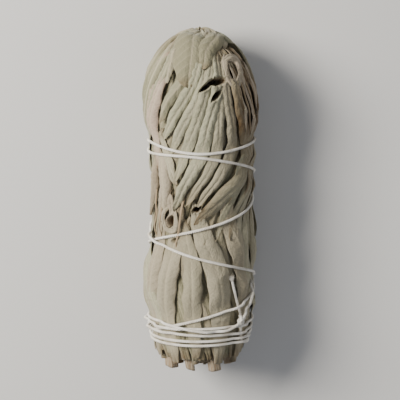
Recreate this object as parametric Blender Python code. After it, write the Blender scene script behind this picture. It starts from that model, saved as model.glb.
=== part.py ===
"""A bunch of dried white sage, bound with cotton thread and lying on its side.

Nine leafy sprigs make it up: eight round the outside and one in the middle. Each is a woody
stem with its own leaves fused to it. The lower leaves stand up from the cut ends. The upper
leaves are folded over the crown, so their tips hang down along the side. One thread binds the
sprigs: it starts at a knot near the cut ends, climbs in a helix, goes once round below the
crown and comes back down across itself to the knot.

The bunch runs along Y, with the cut ends at the low end and the crown at the high end, and
rests on Z = 0. Sizes here are in millimetres, which MM turns into Blender's metres.
"""

import math

import bmesh
import bpy
import numpy as np
from mathutils import Matrix

MM = 0.001

# Outline of the whole bunch
LENGTH = 103.0
RADIUS = 16.8
CROWN_START = 82.0
CROWN_HEIGHT = LENGTH - CROWN_START
CROWN_RUN = 19.1
BASE_TAPER, BASE_RUN = 3.0, 9.0
WAIST_DEPTH, WAIST_PLACE, WAIST_RUN = 0.7, 48.0, 10.0

# How it lies on the surface
AXIS_HEIGHT = 15.5
BOW = 0.6
SAG, SAG_HEIGHT = 0.043, 4.0
FLOOR = 0.3

# The thread
THREAD_RADIUS = 0.45
THREAD_SIDES = 5
THREAD_ROUTE = (
    (-1315, 29.0),
    (-1308, 22.5),
    (-1300, 16.4),
    (-1298, 12.0),
    (-1293, 9.3),
    (-1276, 8.0),
    (-1200, 8.3),
    (-910, 9.45),
    (-550, 10.8),
    (-420, 11.2),
    (-360, 11.5),
    (-331, 12.6),
    (-290, 15.9),
    (-151, 26.5),
    (29, 40.3),
    (180, 51.8),
    (270, 61.5),
    (360, 69.4),
    (450, 67.4),
    (540, 69.7),
    (630, 68.9),
    (720, 66.3),
    (810, 66.2),
    (900, 60.0),
    (1000, 50.3),
    (1109, 40.3),
    (1199, 33.5),
    (1289, 26.0),
    (1350, 19.6),
    (1410, 14.2),
    (1480, 12.9),
    (1840, 14.3),
    (2200, 15.7),
    (2296, 16.4),
    (2306, 19.5),
    (2322, 27.0),
)
KNOT_TURN, KNOT_HEIGHT = 2298, 16.4
KNOT_SIZE = (1.9, 1.5, 1.3)
KNOT_RISE = 0.6
ROUTE_ERROR = 0.18
CROSSING_LIFT = 1.25
CROSSING_RAMP = 3.4
BITE, BITE_REACH = 1.5, 4.2
THREAD_GAP = 0.3
CHANNEL_ERROR, CHANNEL_LENGTH = 0.3, 12
CHANNEL_START = 16.6
LOWEST_THREAD = THREAD_RADIUS + 0.06
BAND_BOTTOM, BAND_TOP = 7.0, 16.8
BAND_SLOPE, BAND_SLOPE_END = 0.5, 20.5

# The sprigs
OUTER_SPRIGS = 8
SPRIG_ANGLE = 2 * math.pi / OUTER_SPRIGS
LEAN_PLACES = (0, 20, 38, 46, 58, 70, 82, 95, 104)
LEAN_ANGLES = (-0.9, -0.5, 0.0, -0.1, -0.58, -1.1, -1.55, -1.9, -1.95)
SPRIG_GAP = 0.22
MIDDLE_RADIUS = 4.3
MIDDLE_FLARE_START, MIDDLE_FLARE = 94.0, 0.6
MIDDLE_LEAVES = 5
MIDDLE_CORE_DEPTH, MIDDLE_CROWN_DEPTH, MIDDLE_CORE_END = 1.4, 1.2, 101
MIDDLE_GAP = 0.48
OVERLAP_LEAN, OVERLAP_DEPTH = 1.0, 4.5
CORE_DEPTH, CORE_SPARE = 2.3, 0.6
CORE_PLACES = (6, 20, 34, 46, 58, 70, 80, 88, 93, 97)
SHARE_PLACES = (-4, 6.6, 7.0, 16.8, 20.5, 20.9, 27, 36, 46, 54, 62, 70, 80, 90, 94, 107)
SHARE_REACH = 6.0
STEM_RADIUS = 1.9
STEM_PLACE = 9.6
STEM_SIDES = 8
STEM_STARTS = (0.3, 1.1, 0.0, 0.8, 0.4, 1.3, 0.1, 0.9, 0.6)
STEM_END = 14.0

# The leaves
LEAF_THICKNESS = 0.75
BED_DEPTH = 3.2
BED_START, BED_END = 0.55, 0.85
ROW_PLACES = (7.5, 16.5, 23, 33, 42, 50, 59, 67.5, 76, 85, 92, 98, 104)
ROW_MARGIN = 2.0
LEAF_COLUMNS = 4
TIGHTEST_BEND = 1.3
SEED = 41
FOLDED_SHARES = (0.16, 0.5, 0.84)
LOWER_SHARES = (0.25, 0.72)

# The leaves seen from the front: half width, curl, lift and the middle line from root to tip,
# each of its points as x and the distance along the outline
FRONT_FOLDED = (
    (6.6, 1.3, 1.0, ((-1.0, 107), (-2.2, 97), (-3.4, 86.5))),
    (2.5, 2.7, 0.3, ((-2.0, 97), (-5.2, 88), (-9.3, 83), (-12.4, 76))),
    (2.7, 2.8, 0.5, ((0.5, 97), (-2.9, 86), (-7.4, 79), (-11.6, 71))),
    (2.6, 2.8, 0.4, ((2.0, 96), (-1.0, 83), (-5.6, 75), (-10.2, 66))),
    (2.6, 2.6, 0.6, ((3.5, 95), (2.2, 87), (-1.9, 75), (-4.7, 68.5), (-7.6, 59))),
    (
        3.1,
        2.8,
        0.5,
        ((4.5, 97), (4.8, 85), (1.9, 75), (0.6, 69), (-1.6, 64), (-4.9, 58), (-8.3, 50)),
    ),
    (2.4, 2.8, 0.1, ((5.5, 97), (6.0, 85), (5.5, 75), (5.2, 69), (2.3, 62), (-1.2, 57), (-4.9, 51.5))),
    (2.7, 2.8, 0.3, ((6.5, 96), (8.0, 84), (9.6, 75), (9.7, 69), (6.6, 62), (2.6, 56.6), (-1.8, 51))),
    (
        3.7,
        2.2,
        0.6,
        ((7.5, 96), (11.0, 83), (13.4, 74), (14.4, 67), (13.2, 60.5), (7.7, 55), (-2.5, 46)),
    ),
    (2.8, 2.4, 0.6, ((-10.5, 90), (-13.4, 83), (-14.9, 77), (-14.4, 69.5), (-13.3, 62))),
    (2.2, 2.6, 0.1, ((-8.5, 97), (-12.5, 92), (-15.6, 84), (-16.0, 75))),
    (2.0, 2.8, 0.1, ((-12.7, 72), (-10.8, 66), (-7.6, 57.5))),
    (2.7, 2.6, 0.3, ((-13.4, 68), (-11.8, 61), (-11.6, 52), (-12.4, 46))),
)
FRONT_LOWER = (
    (3.4, 1.8, 0.2, ((-13.0, 4), (-15.2, 20), (-14.3, 34), (-12.2, 50))),
    (3.6, 1.7, 0.3, ((-7.5, 3), (-10.6, 18), (-9.8, 33), (-6.5, 52))),
    (3.4, 1.8, 0.1, ((-1.0, 5), (-2.5, 20), (-3.0, 33), (-6.0, 48))),
    (4.3, 1.6, 0.4, ((6.0, 3), (6.6, 18), (4.4, 34), (0.4, 43), (-2.6, 53))),
    (4.4, 1.6, 0.3, ((12.0, 4), (14.2, 20), (13.2, 34), (9.6, 44), (6.6, 54))),
)
FRONT_FOLDED_ZONE = (20, 166)
FRONT_LOWER_ZONE = (22, 162)

LEAF_COLOUR = (0.42, 0.42, 0.33, 1.0)
THREAD_COLOUR = (0.80, 0.77, 0.70, 1.0)


def smooth_curve(places, values, at):
    """A smooth line through the values at those places, read at each entry of at (cubic Hermite)."""
    places = np.asarray(places, float)
    values = np.asarray(values, float)
    slopes = np.gradient(values, places)
    at = np.clip(at, places[0], places[-1])
    i = np.clip(np.searchsorted(places, at) - 1, 0, len(places) - 2)
    span = places[i + 1] - places[i]
    t = (at - places[i]) / span
    start = values[i] * (1 + 2 * t) * (1 - t) ** 2 + slopes[i] * span * t * (1 - t) ** 2
    end = values[i + 1] * t**2 * (3 - 2 * t) - slopes[i + 1] * span * t**2 * (1 - t)
    return start + end


def smooth_step(x):
    """0 up to x = 0, 1 from x = 1, and a smooth rise between."""
    x = np.clip(x, 0, 1)
    return x * x * (3 - 2 * x)


def side_radius(s):
    """Radius of the bunch below the crown: narrow at the cut ends, with a slight waist."""
    taper = BASE_TAPER * np.exp(-((s / BASE_RUN) ** 2))
    waist = WAIST_DEPTH * np.exp(-(((s - WAIST_PLACE) / WAIST_RUN) ** 2))
    return RADIUS - taper - waist


def outline(along):
    """Radius and height at a distance along the outline, and its outward direction there."""
    rise = np.clip((along - CROWN_START) / CROWN_RUN, 0, math.pi / 2)
    on_side = along < CROWN_START
    r = np.where(on_side, side_radius(along), RADIUS * np.cos(rise))
    s = np.where(on_side, along, CROWN_START + CROWN_HEIGHT * np.sin(rise))
    out_r = np.where(on_side, 1.0, CROWN_HEIGHT * np.cos(rise))
    out_s = np.where(on_side, 0.0, RADIUS * np.sin(rise))
    size = np.hypot(out_r, out_s)
    return r, s, out_r / size, out_s / size


def place(r, theta, s):
    """Points in the frame from radius, angle and height in the bunch. The underside is a little flatter."""
    x = r * np.cos(theta) + BOW * np.sin(math.pi * s / LENGTH)
    z = AXIS_HEIGHT + r * np.sin(theta)
    z = z + SAG * np.maximum(0, SAG_HEIGHT - z) ** 2 - FLOOR
    return np.stack(np.broadcast_arrays(x, s - LENGTH / 2, z), -1)


def thread_line():
    """The thread's route as angle, height and lift. A later pass rises in a low hump over an earlier one."""
    turns, heights = np.array(THREAD_ROUTE, float).T
    steps = np.hypot(np.diff(np.radians(turns)) * RADIUS, np.diff(heights))
    length = np.concatenate([[0], np.cumsum(steps)])
    at = np.arange(0, length[-1], 0.8)
    turn = smooth_curve(length, turns, at)
    s = smooth_curve(length, heights, at)
    theta = math.pi - np.radians(turn)
    return theta, s, crossing_lifts(at, theta, s)


def crossing_lifts(at, theta, s):
    """How far each point of the route rises to clear the passes under it."""
    circumference = 2 * math.pi * RADIUS
    around = RADIUS * theta
    lift = np.zeros(len(at))
    step_around, step_s = np.diff(around), np.diff(s)
    for later in range(len(at) - 1):
        earlier = np.arange(0, max(0, later - 8))
        if not len(earlier):
            continue
        # Where the two short steps meet, as shares of each of them
        offset = (around[earlier] - around[later] + circumference / 2) % circumference - circumference / 2
        rise = s[earlier] - s[later]
        cross = step_around[later] * step_s[earlier] - step_s[later] * step_around[earlier]
        cross = np.where(np.abs(cross) < 1e-9, 1e-9, cross)
        share_later = (offset * step_s[earlier] - rise * step_around[earlier]) / cross
        share_earlier = (offset * step_s[later] - rise * step_around[later]) / cross
        meets = (share_later >= 0) & (share_later < 1) & (share_earlier >= 0) & (share_earlier < 1)
        for e in earlier[meets]:
            steps = math.hypot(step_around[later], step_s[later]) * math.hypot(step_around[e], step_s[e])
            sine = max(0.2, abs(cross[e]) / steps)
            flat = 2.3 * THREAD_RADIUS / sine
            away = np.maximum(0, np.abs(at - at[later]) - flat) / CROSSING_RAMP
            hump = np.clip(1 - away, 0, 1)
            lift = np.maximum(lift, (lift[e] + CROSSING_LIFT) * hump**2 * (3 - 2 * hump))
    return lift


THREAD_THETA, THREAD_S, THREAD_LIFT = thread_line()


def thread_nearness(theta, s):
    """1 on the thread's line at an angle and height, falling to 0 away from it."""
    circumference = 2 * math.pi * RADIUS
    gap_around = RADIUS * (np.asarray(theta)[..., None] - THREAD_THETA[::2])
    gap_around = (gap_around + circumference / 2) % circumference - circumference / 2
    gap = np.hypot(gap_around, np.asarray(s)[..., None] - THREAD_S[::2]).min(-1)
    return np.exp(-((gap / BITE_REACH) ** 2))


def thread_centres(lift_share=1.0):
    """Centre points of the thread on the bound bunch."""
    r = side_radius(THREAD_S) - BITE + THREAD_RADIUS + THREAD_GAP + THREAD_LIFT * lift_share
    points = place(r, THREAD_THETA, THREAD_S)
    # Under the bunch the thread is pressed up, clear of the surface it rests on
    z = points[:, 2]
    points[:, 2] = LOWEST_THREAD + 0.5 * (z - LOWEST_THREAD + np.hypot(z - LOWEST_THREAD, 0.15))
    return points


def fewer_points(points, error):
    """Those points of a line that keep it within an error of its full shape (Douglas and Peucker's rule)."""
    keep = {0, len(points) - 1}
    spans = [(0, len(points) - 1)]
    while spans:
        a, b = spans.pop()
        if b - a < 2:
            continue
        chord = points[b] - points[a]
        inner = points[a + 1 : b] - points[a]
        share = np.clip(inner @ chord / max(chord @ chord, 1e-12), 0, 1)
        away = np.linalg.norm(inner - share[:, None] * chord, axis=1)
        worst = int(away.argmax())
        if away[worst] > error or b - a > 40:
            middle = a + 1 + worst
            keep.add(middle)
            spans += [(a, middle), (middle, b)]
    keep = sorted(keep)
    return keep, points[keep]


def tube(centres, radius, sides):
    """Vertices and faces of a closed tube round a line of points, with a steady cross-section."""
    ahead = np.gradient(centres, axis=0)
    ahead /= np.linalg.norm(ahead, axis=1)[:, None]
    side = np.cross(ahead[0], (0.3, 0.5, 0.8))
    rings = []
    for centre, direction in zip(centres, ahead):
        side = side - direction * (side @ direction)
        side = side / np.linalg.norm(side)
        other = np.cross(direction, side)
        angles = np.arange(sides) * 2 * math.pi / sides
        rings.append(centre + radius * (np.outer(np.cos(angles), side) + np.outer(np.sin(angles), other)))
    return loft(np.array(rings))


def loft(rings, turned=()):
    """Vertices and faces of a closed solid through rings of equally many points.

    Each side is split into triangles along one diagonal, and the sides named in turned along the other.
    """
    count, sides = rings.shape[:2]
    faces = []
    for i in range(count - 1):
        for j in range(sides):
            a, b = i * sides + j, i * sides + (j + 1) % sides
            if j in turned:
                faces += [(a, b, a + sides), (b, b + sides, a + sides)]
            else:
                faces += [(a, b, b + sides), (a, b + sides, a + sides)]
    faces.append(tuple(range(sides - 1, -1, -1)))
    faces.append(tuple(range((count - 1) * sides, count * sides)))
    return rings.reshape(-1, 3), faces


def sheet_solid(outer, inner):
    """Vertices and faces of a blade between two grids of points, split into triangles alike on both."""
    rows, columns = outer.shape[:2]
    number = np.arange(rows * columns).reshape(rows, columns)
    a, b = number[:-1, :-1].ravel(), number[1:, :-1].ravel()
    c, d = number[1:, 1:].ravel(), number[:-1, 1:].ravel()
    face = np.concatenate([np.stack([a, b, c], 1), np.stack([a, c, d], 1)])
    rim = np.concatenate([number[0, :], number[1:, -1], number[-1, -2::-1], number[-2:0:-1, 0]])
    ahead = np.roll(rim, -1)
    below = rows * columns
    wall = [np.stack([rim, ahead, ahead + below], 1), np.stack([rim, ahead + below, rim + below], 1)]
    faces = np.concatenate([face, face[:, ::-1] + below, *wall])
    return np.concatenate([outer.reshape(-1, 3), inner.reshape(-1, 3)]), faces.tolist()


def lean(s):
    """How far round the bunch the sprigs have turned at a height."""
    return smooth_curve(LEAN_PLACES, LEAN_ANGLES, s)


def overlap(r):
    """Angle by which a sprig laps over the next one at a radius: none inside, most at the surface."""
    return OVERLAP_LEAN * np.maximum(0, r - (RADIUS - OVERLAP_DEPTH)) / r


def leaf_line(leaf, along):
    """Angle of a leaf's middle line at a distance along the outline."""
    places, angles = np.array(leaf["line"]).T
    order = np.argsort(places)
    return smooth_curve(places[order], angles[order], along)


def leaf_sheet(leaf, t, u, depth, bedded=0.0):
    """Points of a leaf t along it from the root, u across it from -1 to 1, and some depth below its face.

    Where bedded is 1, the underside goes straight down into the packed leaves instead, so no hollow is left.
    """
    t, u = np.meshgrid(t, u, indexing="ij")
    bed = bedded * smooth_step((BED_END - t) / (BED_END - BED_START))
    root, tip = leaf["line"][0][0], leaf["line"][-1][0]
    along = root + (tip - root) * t
    r = outline(along)[0]
    slope = (leaf_line(leaf, along + 0.5) - leaf_line(leaf, along - 0.5)) * r
    end = leaf["end"]
    width = leaf["half_width"] * (end + (1 - end) * np.sin(math.pi * t ** leaf["belly"]) ** 0.7)
    bend = np.maximum(2 * width / leaf["curl"], TIGHTEST_BEND)
    turn = u * width / bend
    x = bend * np.sin(turn) - depth * np.sin(turn) * (1 - bed)
    h = -bend * (1 - np.cos(turn)) - depth * np.cos(turn)
    h = h + leaf["tilt"] * x + smooth_curve(leaf["lift_places"], leaf["lifts"], t)
    h = h + leaf["wave"] * np.sin(leaf["waves"] * t + leaf["wave_start"]) * u
    h = h + bed * (np.minimum(h, -BED_DEPTH) - h)
    leaning = np.sqrt(1 + slope**2)
    theta = leaf_line(leaf, along) + x / (np.maximum(r, 3.0) * leaning)
    r, s, out_r, out_s = outline(along - x * slope / leaning)
    # The thread presses the leaves in, and what stands proud under it is pressed level
    near = thread_nearness(theta, s)
    h = h - near * (np.maximum(0, h) + BITE)
    return place(r + h * out_r, theta, s + h * out_s)


def lower_leaf(line, half_width, curl, lift, random):
    """A broad leaf that stands up from the cut ends, its tip under the upper leaves."""
    return {
        "line": line,
        "half_width": half_width,
        "end": 0.3,
        "belly": 1.1,
        "curl": curl,
        "tilt": random.uniform(0.05, 0.2),
        "lift_places": (0, 0.25, 0.75, 1),
        "lifts": (-0.7, lift + 0.2, lift, -1.1),
        "wave": 0.25,
        "waves": random.uniform(5, 9),
        "wave_start": random.uniform(0, 6),
    }


def folded_leaf(line, half_width, curl, lift, random):
    """A leaf folded over the crown, its tip hanging down the side."""
    return {
        "line": line,
        "half_width": half_width,
        "end": 0.25,
        "belly": random.uniform(0.75, 1.0),
        "curl": curl,
        "tilt": random.uniform(0.05, 0.25),
        "lift_places": (0, 0.15, 0.4, 0.8, 1),
        "lifts": (-0.1, lift + random.uniform(0, 0.4), lift, lift, lift - 0.2),
        "wave": 0.3,
        "waves": random.uniform(6, 11),
        "wave_start": random.uniform(0, 6),
    }


def middle_leaf(number, random):
    """A leaf of the middle sprig, folded outwards over the top of the crown."""
    angle = 2 * math.pi * (number + random.uniform(-0.1, 0.1)) / MIDDLE_LEAVES
    return {
        "line": ((111.0, angle), (105.0, angle), (99.5 + random.uniform(-0.6, 0.6), angle)),
        "half_width": random.uniform(2.6, 3.1),
        "end": 0.3,
        "belly": 1.2,
        "curl": 2.0,
        "tilt": 0.15,
        "lift_places": (0, 0.3, 0.7, 1),
        "lifts": (-0.8, 0.15 * (number % 3) - 0.2, 0.0, -0.4),
        "wave": 0.1,
        "waves": 4.0,
        "wave_start": random.uniform(0, 6),
    }


def front_line(points):
    """A middle line from its points' x, seen from the front, and distances along the outline."""
    return tuple((along, math.acos(x / float(outline(np.array(along))[0]))) for x, along in points)


def sprig_line(position, root, tip):
    """A middle line that keeps to one place across the sprigs, counted in sprigs, from root to tip."""
    places = np.linspace(root, tip, 7)
    angles = position * SPRIG_ANGLE + lean(outline(places)[1]) + overlap(RADIUS)
    return tuple(zip(places.tolist(), angles.tolist()))


def middle_angle(line):
    """A middle line's angle half way along, in degrees from 0 to 360."""
    return math.degrees(line[len(line) // 2][1]) % 360


def all_leaves():
    """Every leaf of the outer sprigs: those seen from the front by hand, and the others by rule."""
    random = np.random.default_rng(SEED)
    leaves = [folded_leaf(front_line(line), *sizes, random) for *sizes, line in FRONT_FOLDED]
    leaves += [lower_leaf(front_line(line), *sizes, random) for *sizes, line in FRONT_LOWER]
    for sprig in range(OUTER_SPRIGS):
        for share in LOWER_SHARES:
            root, tip = random.uniform(2.5, 6.5), random.uniform(46, 54)
            line = sprig_line(sprig + share + random.uniform(-0.04, 0.04), root, tip)
            leaf = lower_leaf(line, random.uniform(4.2, 5.2), random.uniform(1.5, 2.0), 0.3, random)
            if not FRONT_LOWER_ZONE[0] < middle_angle(line) < FRONT_LOWER_ZONE[1]:
                leaves.append(leaf)
        for number, share in enumerate(FOLDED_SHARES):
            root = random.uniform(100, 102)
            tip = random.uniform(36, 42) if (number + sprig) % 2 else random.uniform(50, 60)
            line = sprig_line(sprig + share + random.uniform(-0.04, 0.04), root, tip)
            leaf = folded_leaf(line, random.uniform(3.8, 4.7), random.uniform(2.2, 2.8), 0.3, random)
            if not FRONT_FOLDED_ZONE[0] < middle_angle(line) < FRONT_FOLDED_ZONE[1]:
                leaves.append(leaf)
    return leaves


def on_sprig(leaf, sprig):
    """Whether a leaf's middle line passes over an outer sprig. One that lies over two is split between them."""
    for at, angle in leaf["line"][1:-1]:
        s = float(outline(np.array(at))[1])
        if (angle - lean(s) - overlap(RADIUS)) // SPRIG_ANGLE % OUTER_SPRIGS == sprig:
            return True
    return False


def sector(sprig, inner, outer, places, gap):
    """A closed solid that fills one sprig's share of the bunch between two radii, ringed at those heights."""
    rings = []
    for s in places:
        near = inner(s)
        far = max(outer(s), near + 0.5)
        bend = np.clip(RADIUS - OVERLAP_DEPTH, near + 0.1, far - 0.1)
        corners = [(near, 0, 1), (bend, 0, 1), (far, 0, 1), (far, 0.33, 0), (far, 0.67, 0), (far, 1, -1)]
        corners += [(bend, 1, -1), (near, 1, -1)]
        r, share, side = np.array(corners).T
        theta = (sprig + share) * SPRIG_ANGLE + lean(s) + overlap(r) + side * gap / r
        rings.append(place(r, theta, np.full(len(r), s)))
    # Both walls are split alike, so a sprig's wall and the next one's stay the same gap apart
    return loft(np.array(rings), turned=(5, 6))


def middle_radius(s):
    """Radius of the middle sprig's share, which flares at the crown."""
    return MIDDLE_RADIUS + MIDDLE_FLARE * np.maximum(0, s - MIDDLE_FLARE_START)


def share_radius(s):
    """How far out a sprig may reach: the turns of thread draw it in over the band, and it slopes out above."""
    if BAND_BOTTOM <= s <= BAND_SLOPE_END:
        return side_radius(s) - BITE + BAND_SLOPE * max(0, s - BAND_TOP)
    return RADIUS + SHARE_REACH


def core_hole(s):
    """Inner radius of the packed leaves, inside the sprig's share so that trimming gives a clean wall."""
    return middle_radius(s) - CORE_SPARE


def core_radius(s):
    """Radius of the packed leaves under the visible ones."""
    rise = np.clip((s - CROWN_START) / CROWN_HEIGHT, 0, 1)
    return side_radius(np.minimum(s, CROWN_START)) * np.sqrt(1 - rise**2) - CORE_DEPTH


def stem(sprig, start, end):
    """A squarish woody stem with bevelled corners that follows its sprig's lean."""
    rings = []
    for s in np.linspace(start, end, 5):
        theta = (sprig + 0.5) * SPRIG_ANGLE + lean(s) if sprig < OUTER_SPRIGS else 0.0
        r = STEM_PLACE if sprig < OUTER_SPRIGS else 0.0
        corners = np.arange(STEM_SIDES)
        angles = (corners // 2 * 2 + 0.5 + 0.6 * (-1) ** (corners + 1)) * math.pi / 4
        centre = place(r, theta, s)
        ring = STEM_RADIUS * np.stack([np.cos(angles), np.zeros(STEM_SIDES), np.sin(angles)], 1)
        rings.append(centre + ring)
    return loft(np.array(rings))


def object_from(name, vertices, faces):
    """A Blender object of that closed shape, its faces pointing out."""
    mesh = bpy.data.meshes.new(name)
    mesh.from_pydata((np.asarray(vertices) * MM).tolist(), [], [tuple(f) for f in faces])
    work = bmesh.new()
    work.from_mesh(mesh)
    bmesh.ops.recalc_face_normals(work, faces=work.faces)
    if work.calc_volume(signed=True) < 0:
        bmesh.ops.reverse_faces(work, faces=work.faces)
    work.to_mesh(mesh)
    work.free()
    obj = bpy.data.objects.new(name, mesh)
    bpy.context.scene.collection.objects.link(obj)
    return obj


def combine(obj, others, operation):
    """Applies one Boolean of obj with a collection of others, then removes them.

    The Manifold solver does it, as the Exact one leaves a few open edges where waved blades cross.
    """
    group = bpy.data.collections.new("others")
    bpy.context.scene.collection.children.link(group)
    for other in others:
        bpy.context.scene.collection.objects.unlink(other)
        group.objects.link(other)
    modifier = obj.modifiers.new("join", "BOOLEAN")
    modifier.operation = operation
    modifier.operand_type = "COLLECTION"
    modifier.collection = group
    modifier.solver = "MANIFOLD"
    bpy.context.view_layer.update()
    mesh = bpy.data.meshes.new_from_object(obj.evaluated_get(bpy.context.evaluated_depsgraph_get()))
    obj.modifiers.remove(modifier)
    obj.data = mesh
    for other in others:
        bpy.data.objects.remove(other)
    bpy.data.collections.remove(group)
    return obj


def trim(obj, shape, operation):
    """Applies one Boolean of obj with a single shape, which is then removed."""
    modifier = obj.modifiers.new("trim", "BOOLEAN")
    modifier.operation = operation
    modifier.object = shape
    modifier.solver = "MANIFOLD"
    bpy.context.view_layer.update()
    mesh = bpy.data.meshes.new_from_object(obj.evaluated_get(bpy.context.evaluated_depsgraph_get()))
    obj.modifiers.remove(modifier)
    obj.data = mesh
    bpy.data.objects.remove(shape)
    return obj


def keep_main_body(obj):
    """Removes loose scraps and sealed hollows: only the largest closed surface stays."""
    work = bmesh.new()
    work.from_mesh(obj.data)
    left = set(work.faces)
    bodies = []
    while left:
        queue = [left.pop()]
        body = set(queue)
        while queue:
            for edge in queue.pop().edges:
                for face in edge.link_faces:
                    if face in left:
                        left.discard(face)
                        body.add(face)
                        queue.append(face)
        bodies.append(body)
    bodies.sort(key=lambda body: sum(face.calc_area() for face in body))
    for body in bodies[:-1]:
        bmesh.ops.delete(work, geom=list(body), context="FACES")
    work.to_mesh(obj.data)
    work.free()
    return obj


def material(name, colour, roughness):
    """A plain matte material."""
    made = bpy.data.materials.new(name)
    made.use_nodes = True
    shader = made.node_tree.nodes["Principled BSDF"]
    shader.inputs["Base Color"].default_value = colour
    shader.inputs["Roughness"].default_value = roughness
    shader.inputs["Metallic"].default_value = 0.0
    return made


def floor_block():
    """A block under the resting surface, which flattens what the bunch lies on."""
    x, y, low, high = 40.0, 80.0, -30.0, 0.0
    ring = np.array([(-x, -y), (x, -y), (x, y), (-x, y)])
    rings = [np.column_stack([ring, np.full(4, z)]) for z in (low, high)]
    return object_from("floor", *loft(np.array(rings)))


def thread_cutters():
    """Channels for the thread above the band: flat-bottomed, widening outwards, in short lengths."""
    centres = thread_centres(lift_share=0.0)
    kept, _ = fewer_points(centres, CHANNEL_ERROR)
    outside = THREAD_S > CHANNEL_START
    cutters = []
    for start in range(0, len(kept) - 1, CHANNEL_LENGTH):
        chosen = kept[start : start + CHANNEL_LENGTH + 1]
        chosen = [i for i in chosen if outside[i]]
        if len(chosen) < 2:
            continue
        points = centres[chosen]
        ahead = np.gradient(points, axis=0)
        ahead /= np.linalg.norm(ahead, axis=1)[:, None]
        theta = THREAD_THETA[chosen]
        out = np.stack([np.cos(theta), np.zeros(len(theta)), np.sin(theta)], 1)
        side = np.cross(ahead, out)
        side /= np.linalg.norm(side, axis=1)[:, None]
        points[0] -= 0.5 * ahead[0]
        points[-1] += 0.5 * ahead[-1]
        room = THREAD_RADIUS + THREAD_GAP
        corners = ((-1.0, -1.0), (1.0, -1.0), (3.5, 7.0), (-3.5, 7.0))
        rings = np.stack([points + room * (a * side + b * out) for a, b in corners], 1)
        cutters.append(object_from("channel", *loft(rings)))
    return cutters


def leaf_object(leaf):
    """A leaf's blade, with a row of points at each of ROW_PLACES that it passes."""
    root, tip = leaf["line"][0][0], leaf["line"][-1][0]
    low, high = min(root, tip) + ROW_MARGIN, max(root, tip) - ROW_MARGIN
    rows = sorted((place - root) / (tip - root) for place in ROW_PLACES if low < place < high)
    t, u = np.array([0.0, *rows, 1.0]), np.linspace(-1, 1, LEAF_COLUMNS)
    outer, inner = leaf_sheet(leaf, t, u, 0.0), leaf_sheet(leaf, t, u, LEAF_THICKNESS, 1.0)
    return object_from("leaf", *sheet_solid(outer, inner))


def outer_sprig(sprig, leaves):
    """One of the eight sprigs round the outside: stem, packed core and leaves, cut clear of its neighbours."""
    core = sector(sprig, core_hole, core_radius, CORE_PLACES, -CORE_SPARE)
    body = object_from(f"sprig_{sprig + 1}", *core)
    pieces = [object_from("stem", *stem(sprig, STEM_STARTS[sprig], STEM_END))]
    pieces += [leaf_object(leaf) for leaf in leaves if on_sprig(leaf, sprig)]
    combine(body, pieces, "UNION")
    keep_main_body(body)
    share = sector(sprig, middle_radius, share_radius, SHARE_PLACES, SPRIG_GAP)
    trim(body, object_from("share", *share), "INTERSECT")
    combine(body, thread_cutters(), "DIFFERENCE")
    trim(body, floor_block(), "DIFFERENCE")
    return keep_main_body(body)


def middle_column(places, radius):
    """A column inside the outer sprigs, with a corner at each of their walls, split as their inner sides are."""
    rings = []
    for s in places:
        theta = np.arange(OUTER_SPRIGS) * SPRIG_ANGLE + lean(s)
        rings.append(place(radius(s), theta, np.full(OUTER_SPRIGS, s)))
    return loft(np.array(rings), turned=range(OUTER_SPRIGS))


def middle_core_radius(s):
    """Radius of the packed leaves in the middle, kept under the ones that close the crown."""
    rise = np.clip((s - CROWN_START) / CROWN_HEIGHT, 0, 1)
    crown = RADIUS * np.sqrt(1 - rise**2) - MIDDLE_CROWN_DEPTH
    return min(middle_radius(s) - MIDDLE_CORE_DEPTH, crown)


def middle_sprig():
    """The sprig in the middle, whose leaves close the top of the crown."""
    random = np.random.default_rng(SEED + 1)
    places = SHARE_PLACES[1:-1] + (MIDDLE_CORE_END,)
    body = object_from("sprig_middle", *middle_column(places, middle_core_radius))
    pieces = [object_from("stem", *stem(OUTER_SPRIGS, STEM_STARTS[-1], STEM_END))]
    pieces += [leaf_object(middle_leaf(number, random)) for number in range(MIDDLE_LEAVES)]
    combine(body, pieces, "UNION")
    share = middle_column(SHARE_PLACES, lambda s: middle_radius(s) - MIDDLE_GAP)
    trim(body, object_from("share", *share), "INTERSECT")
    return keep_main_body(body)


def knot():
    """The knot, a small lump on the surface: long along the bunch, flat against it."""
    theta = math.pi - math.radians(KNOT_TURN)
    r = side_radius(KNOT_HEIGHT) - BITE + THREAD_RADIUS + THREAD_GAP + KNOT_RISE
    centre = place(r, theta, KNOT_HEIGHT)
    out = np.array([math.cos(theta), 0, math.sin(theta)])
    side = np.array([-math.sin(theta), 0, math.cos(theta)])
    ahead = np.array([0, 1, 0])
    along, across, height = KNOT_SIZE
    rings = []
    for rise in np.radians((-66, -36, 0, 36, 66)):
        around = np.arange(8) * math.pi / 4 + 0.2
        ring = np.outer(np.cos(around) * across * math.cos(rise), side)
        ring += np.outer(np.sin(around) * height * math.cos(rise), out)
        rings.append(centre + ring + along * math.sin(rise) * ahead)
    return loft(np.array(rings))


def thread():
    """The cotton thread with its knot and two short tails, in one piece."""
    _, centres = fewer_points(thread_centres(), ROUTE_ERROR)
    body = object_from("thread", *tube(centres, THREAD_RADIUS, THREAD_SIDES))
    return trim(body, object_from("knot", *knot()), "UNION")


def centre_on_origin(objects):
    """Moves the whole bunch so that the middle of its box stands over the origin."""
    corners = np.array([v.co for obj in objects for v in obj.data.vertices])
    middle = (corners.min(0) + corners.max(0)) / 2
    for obj in objects:
        obj.data.transform(Matrix.Translation((-middle[0], -middle[1], 0)))


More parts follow.
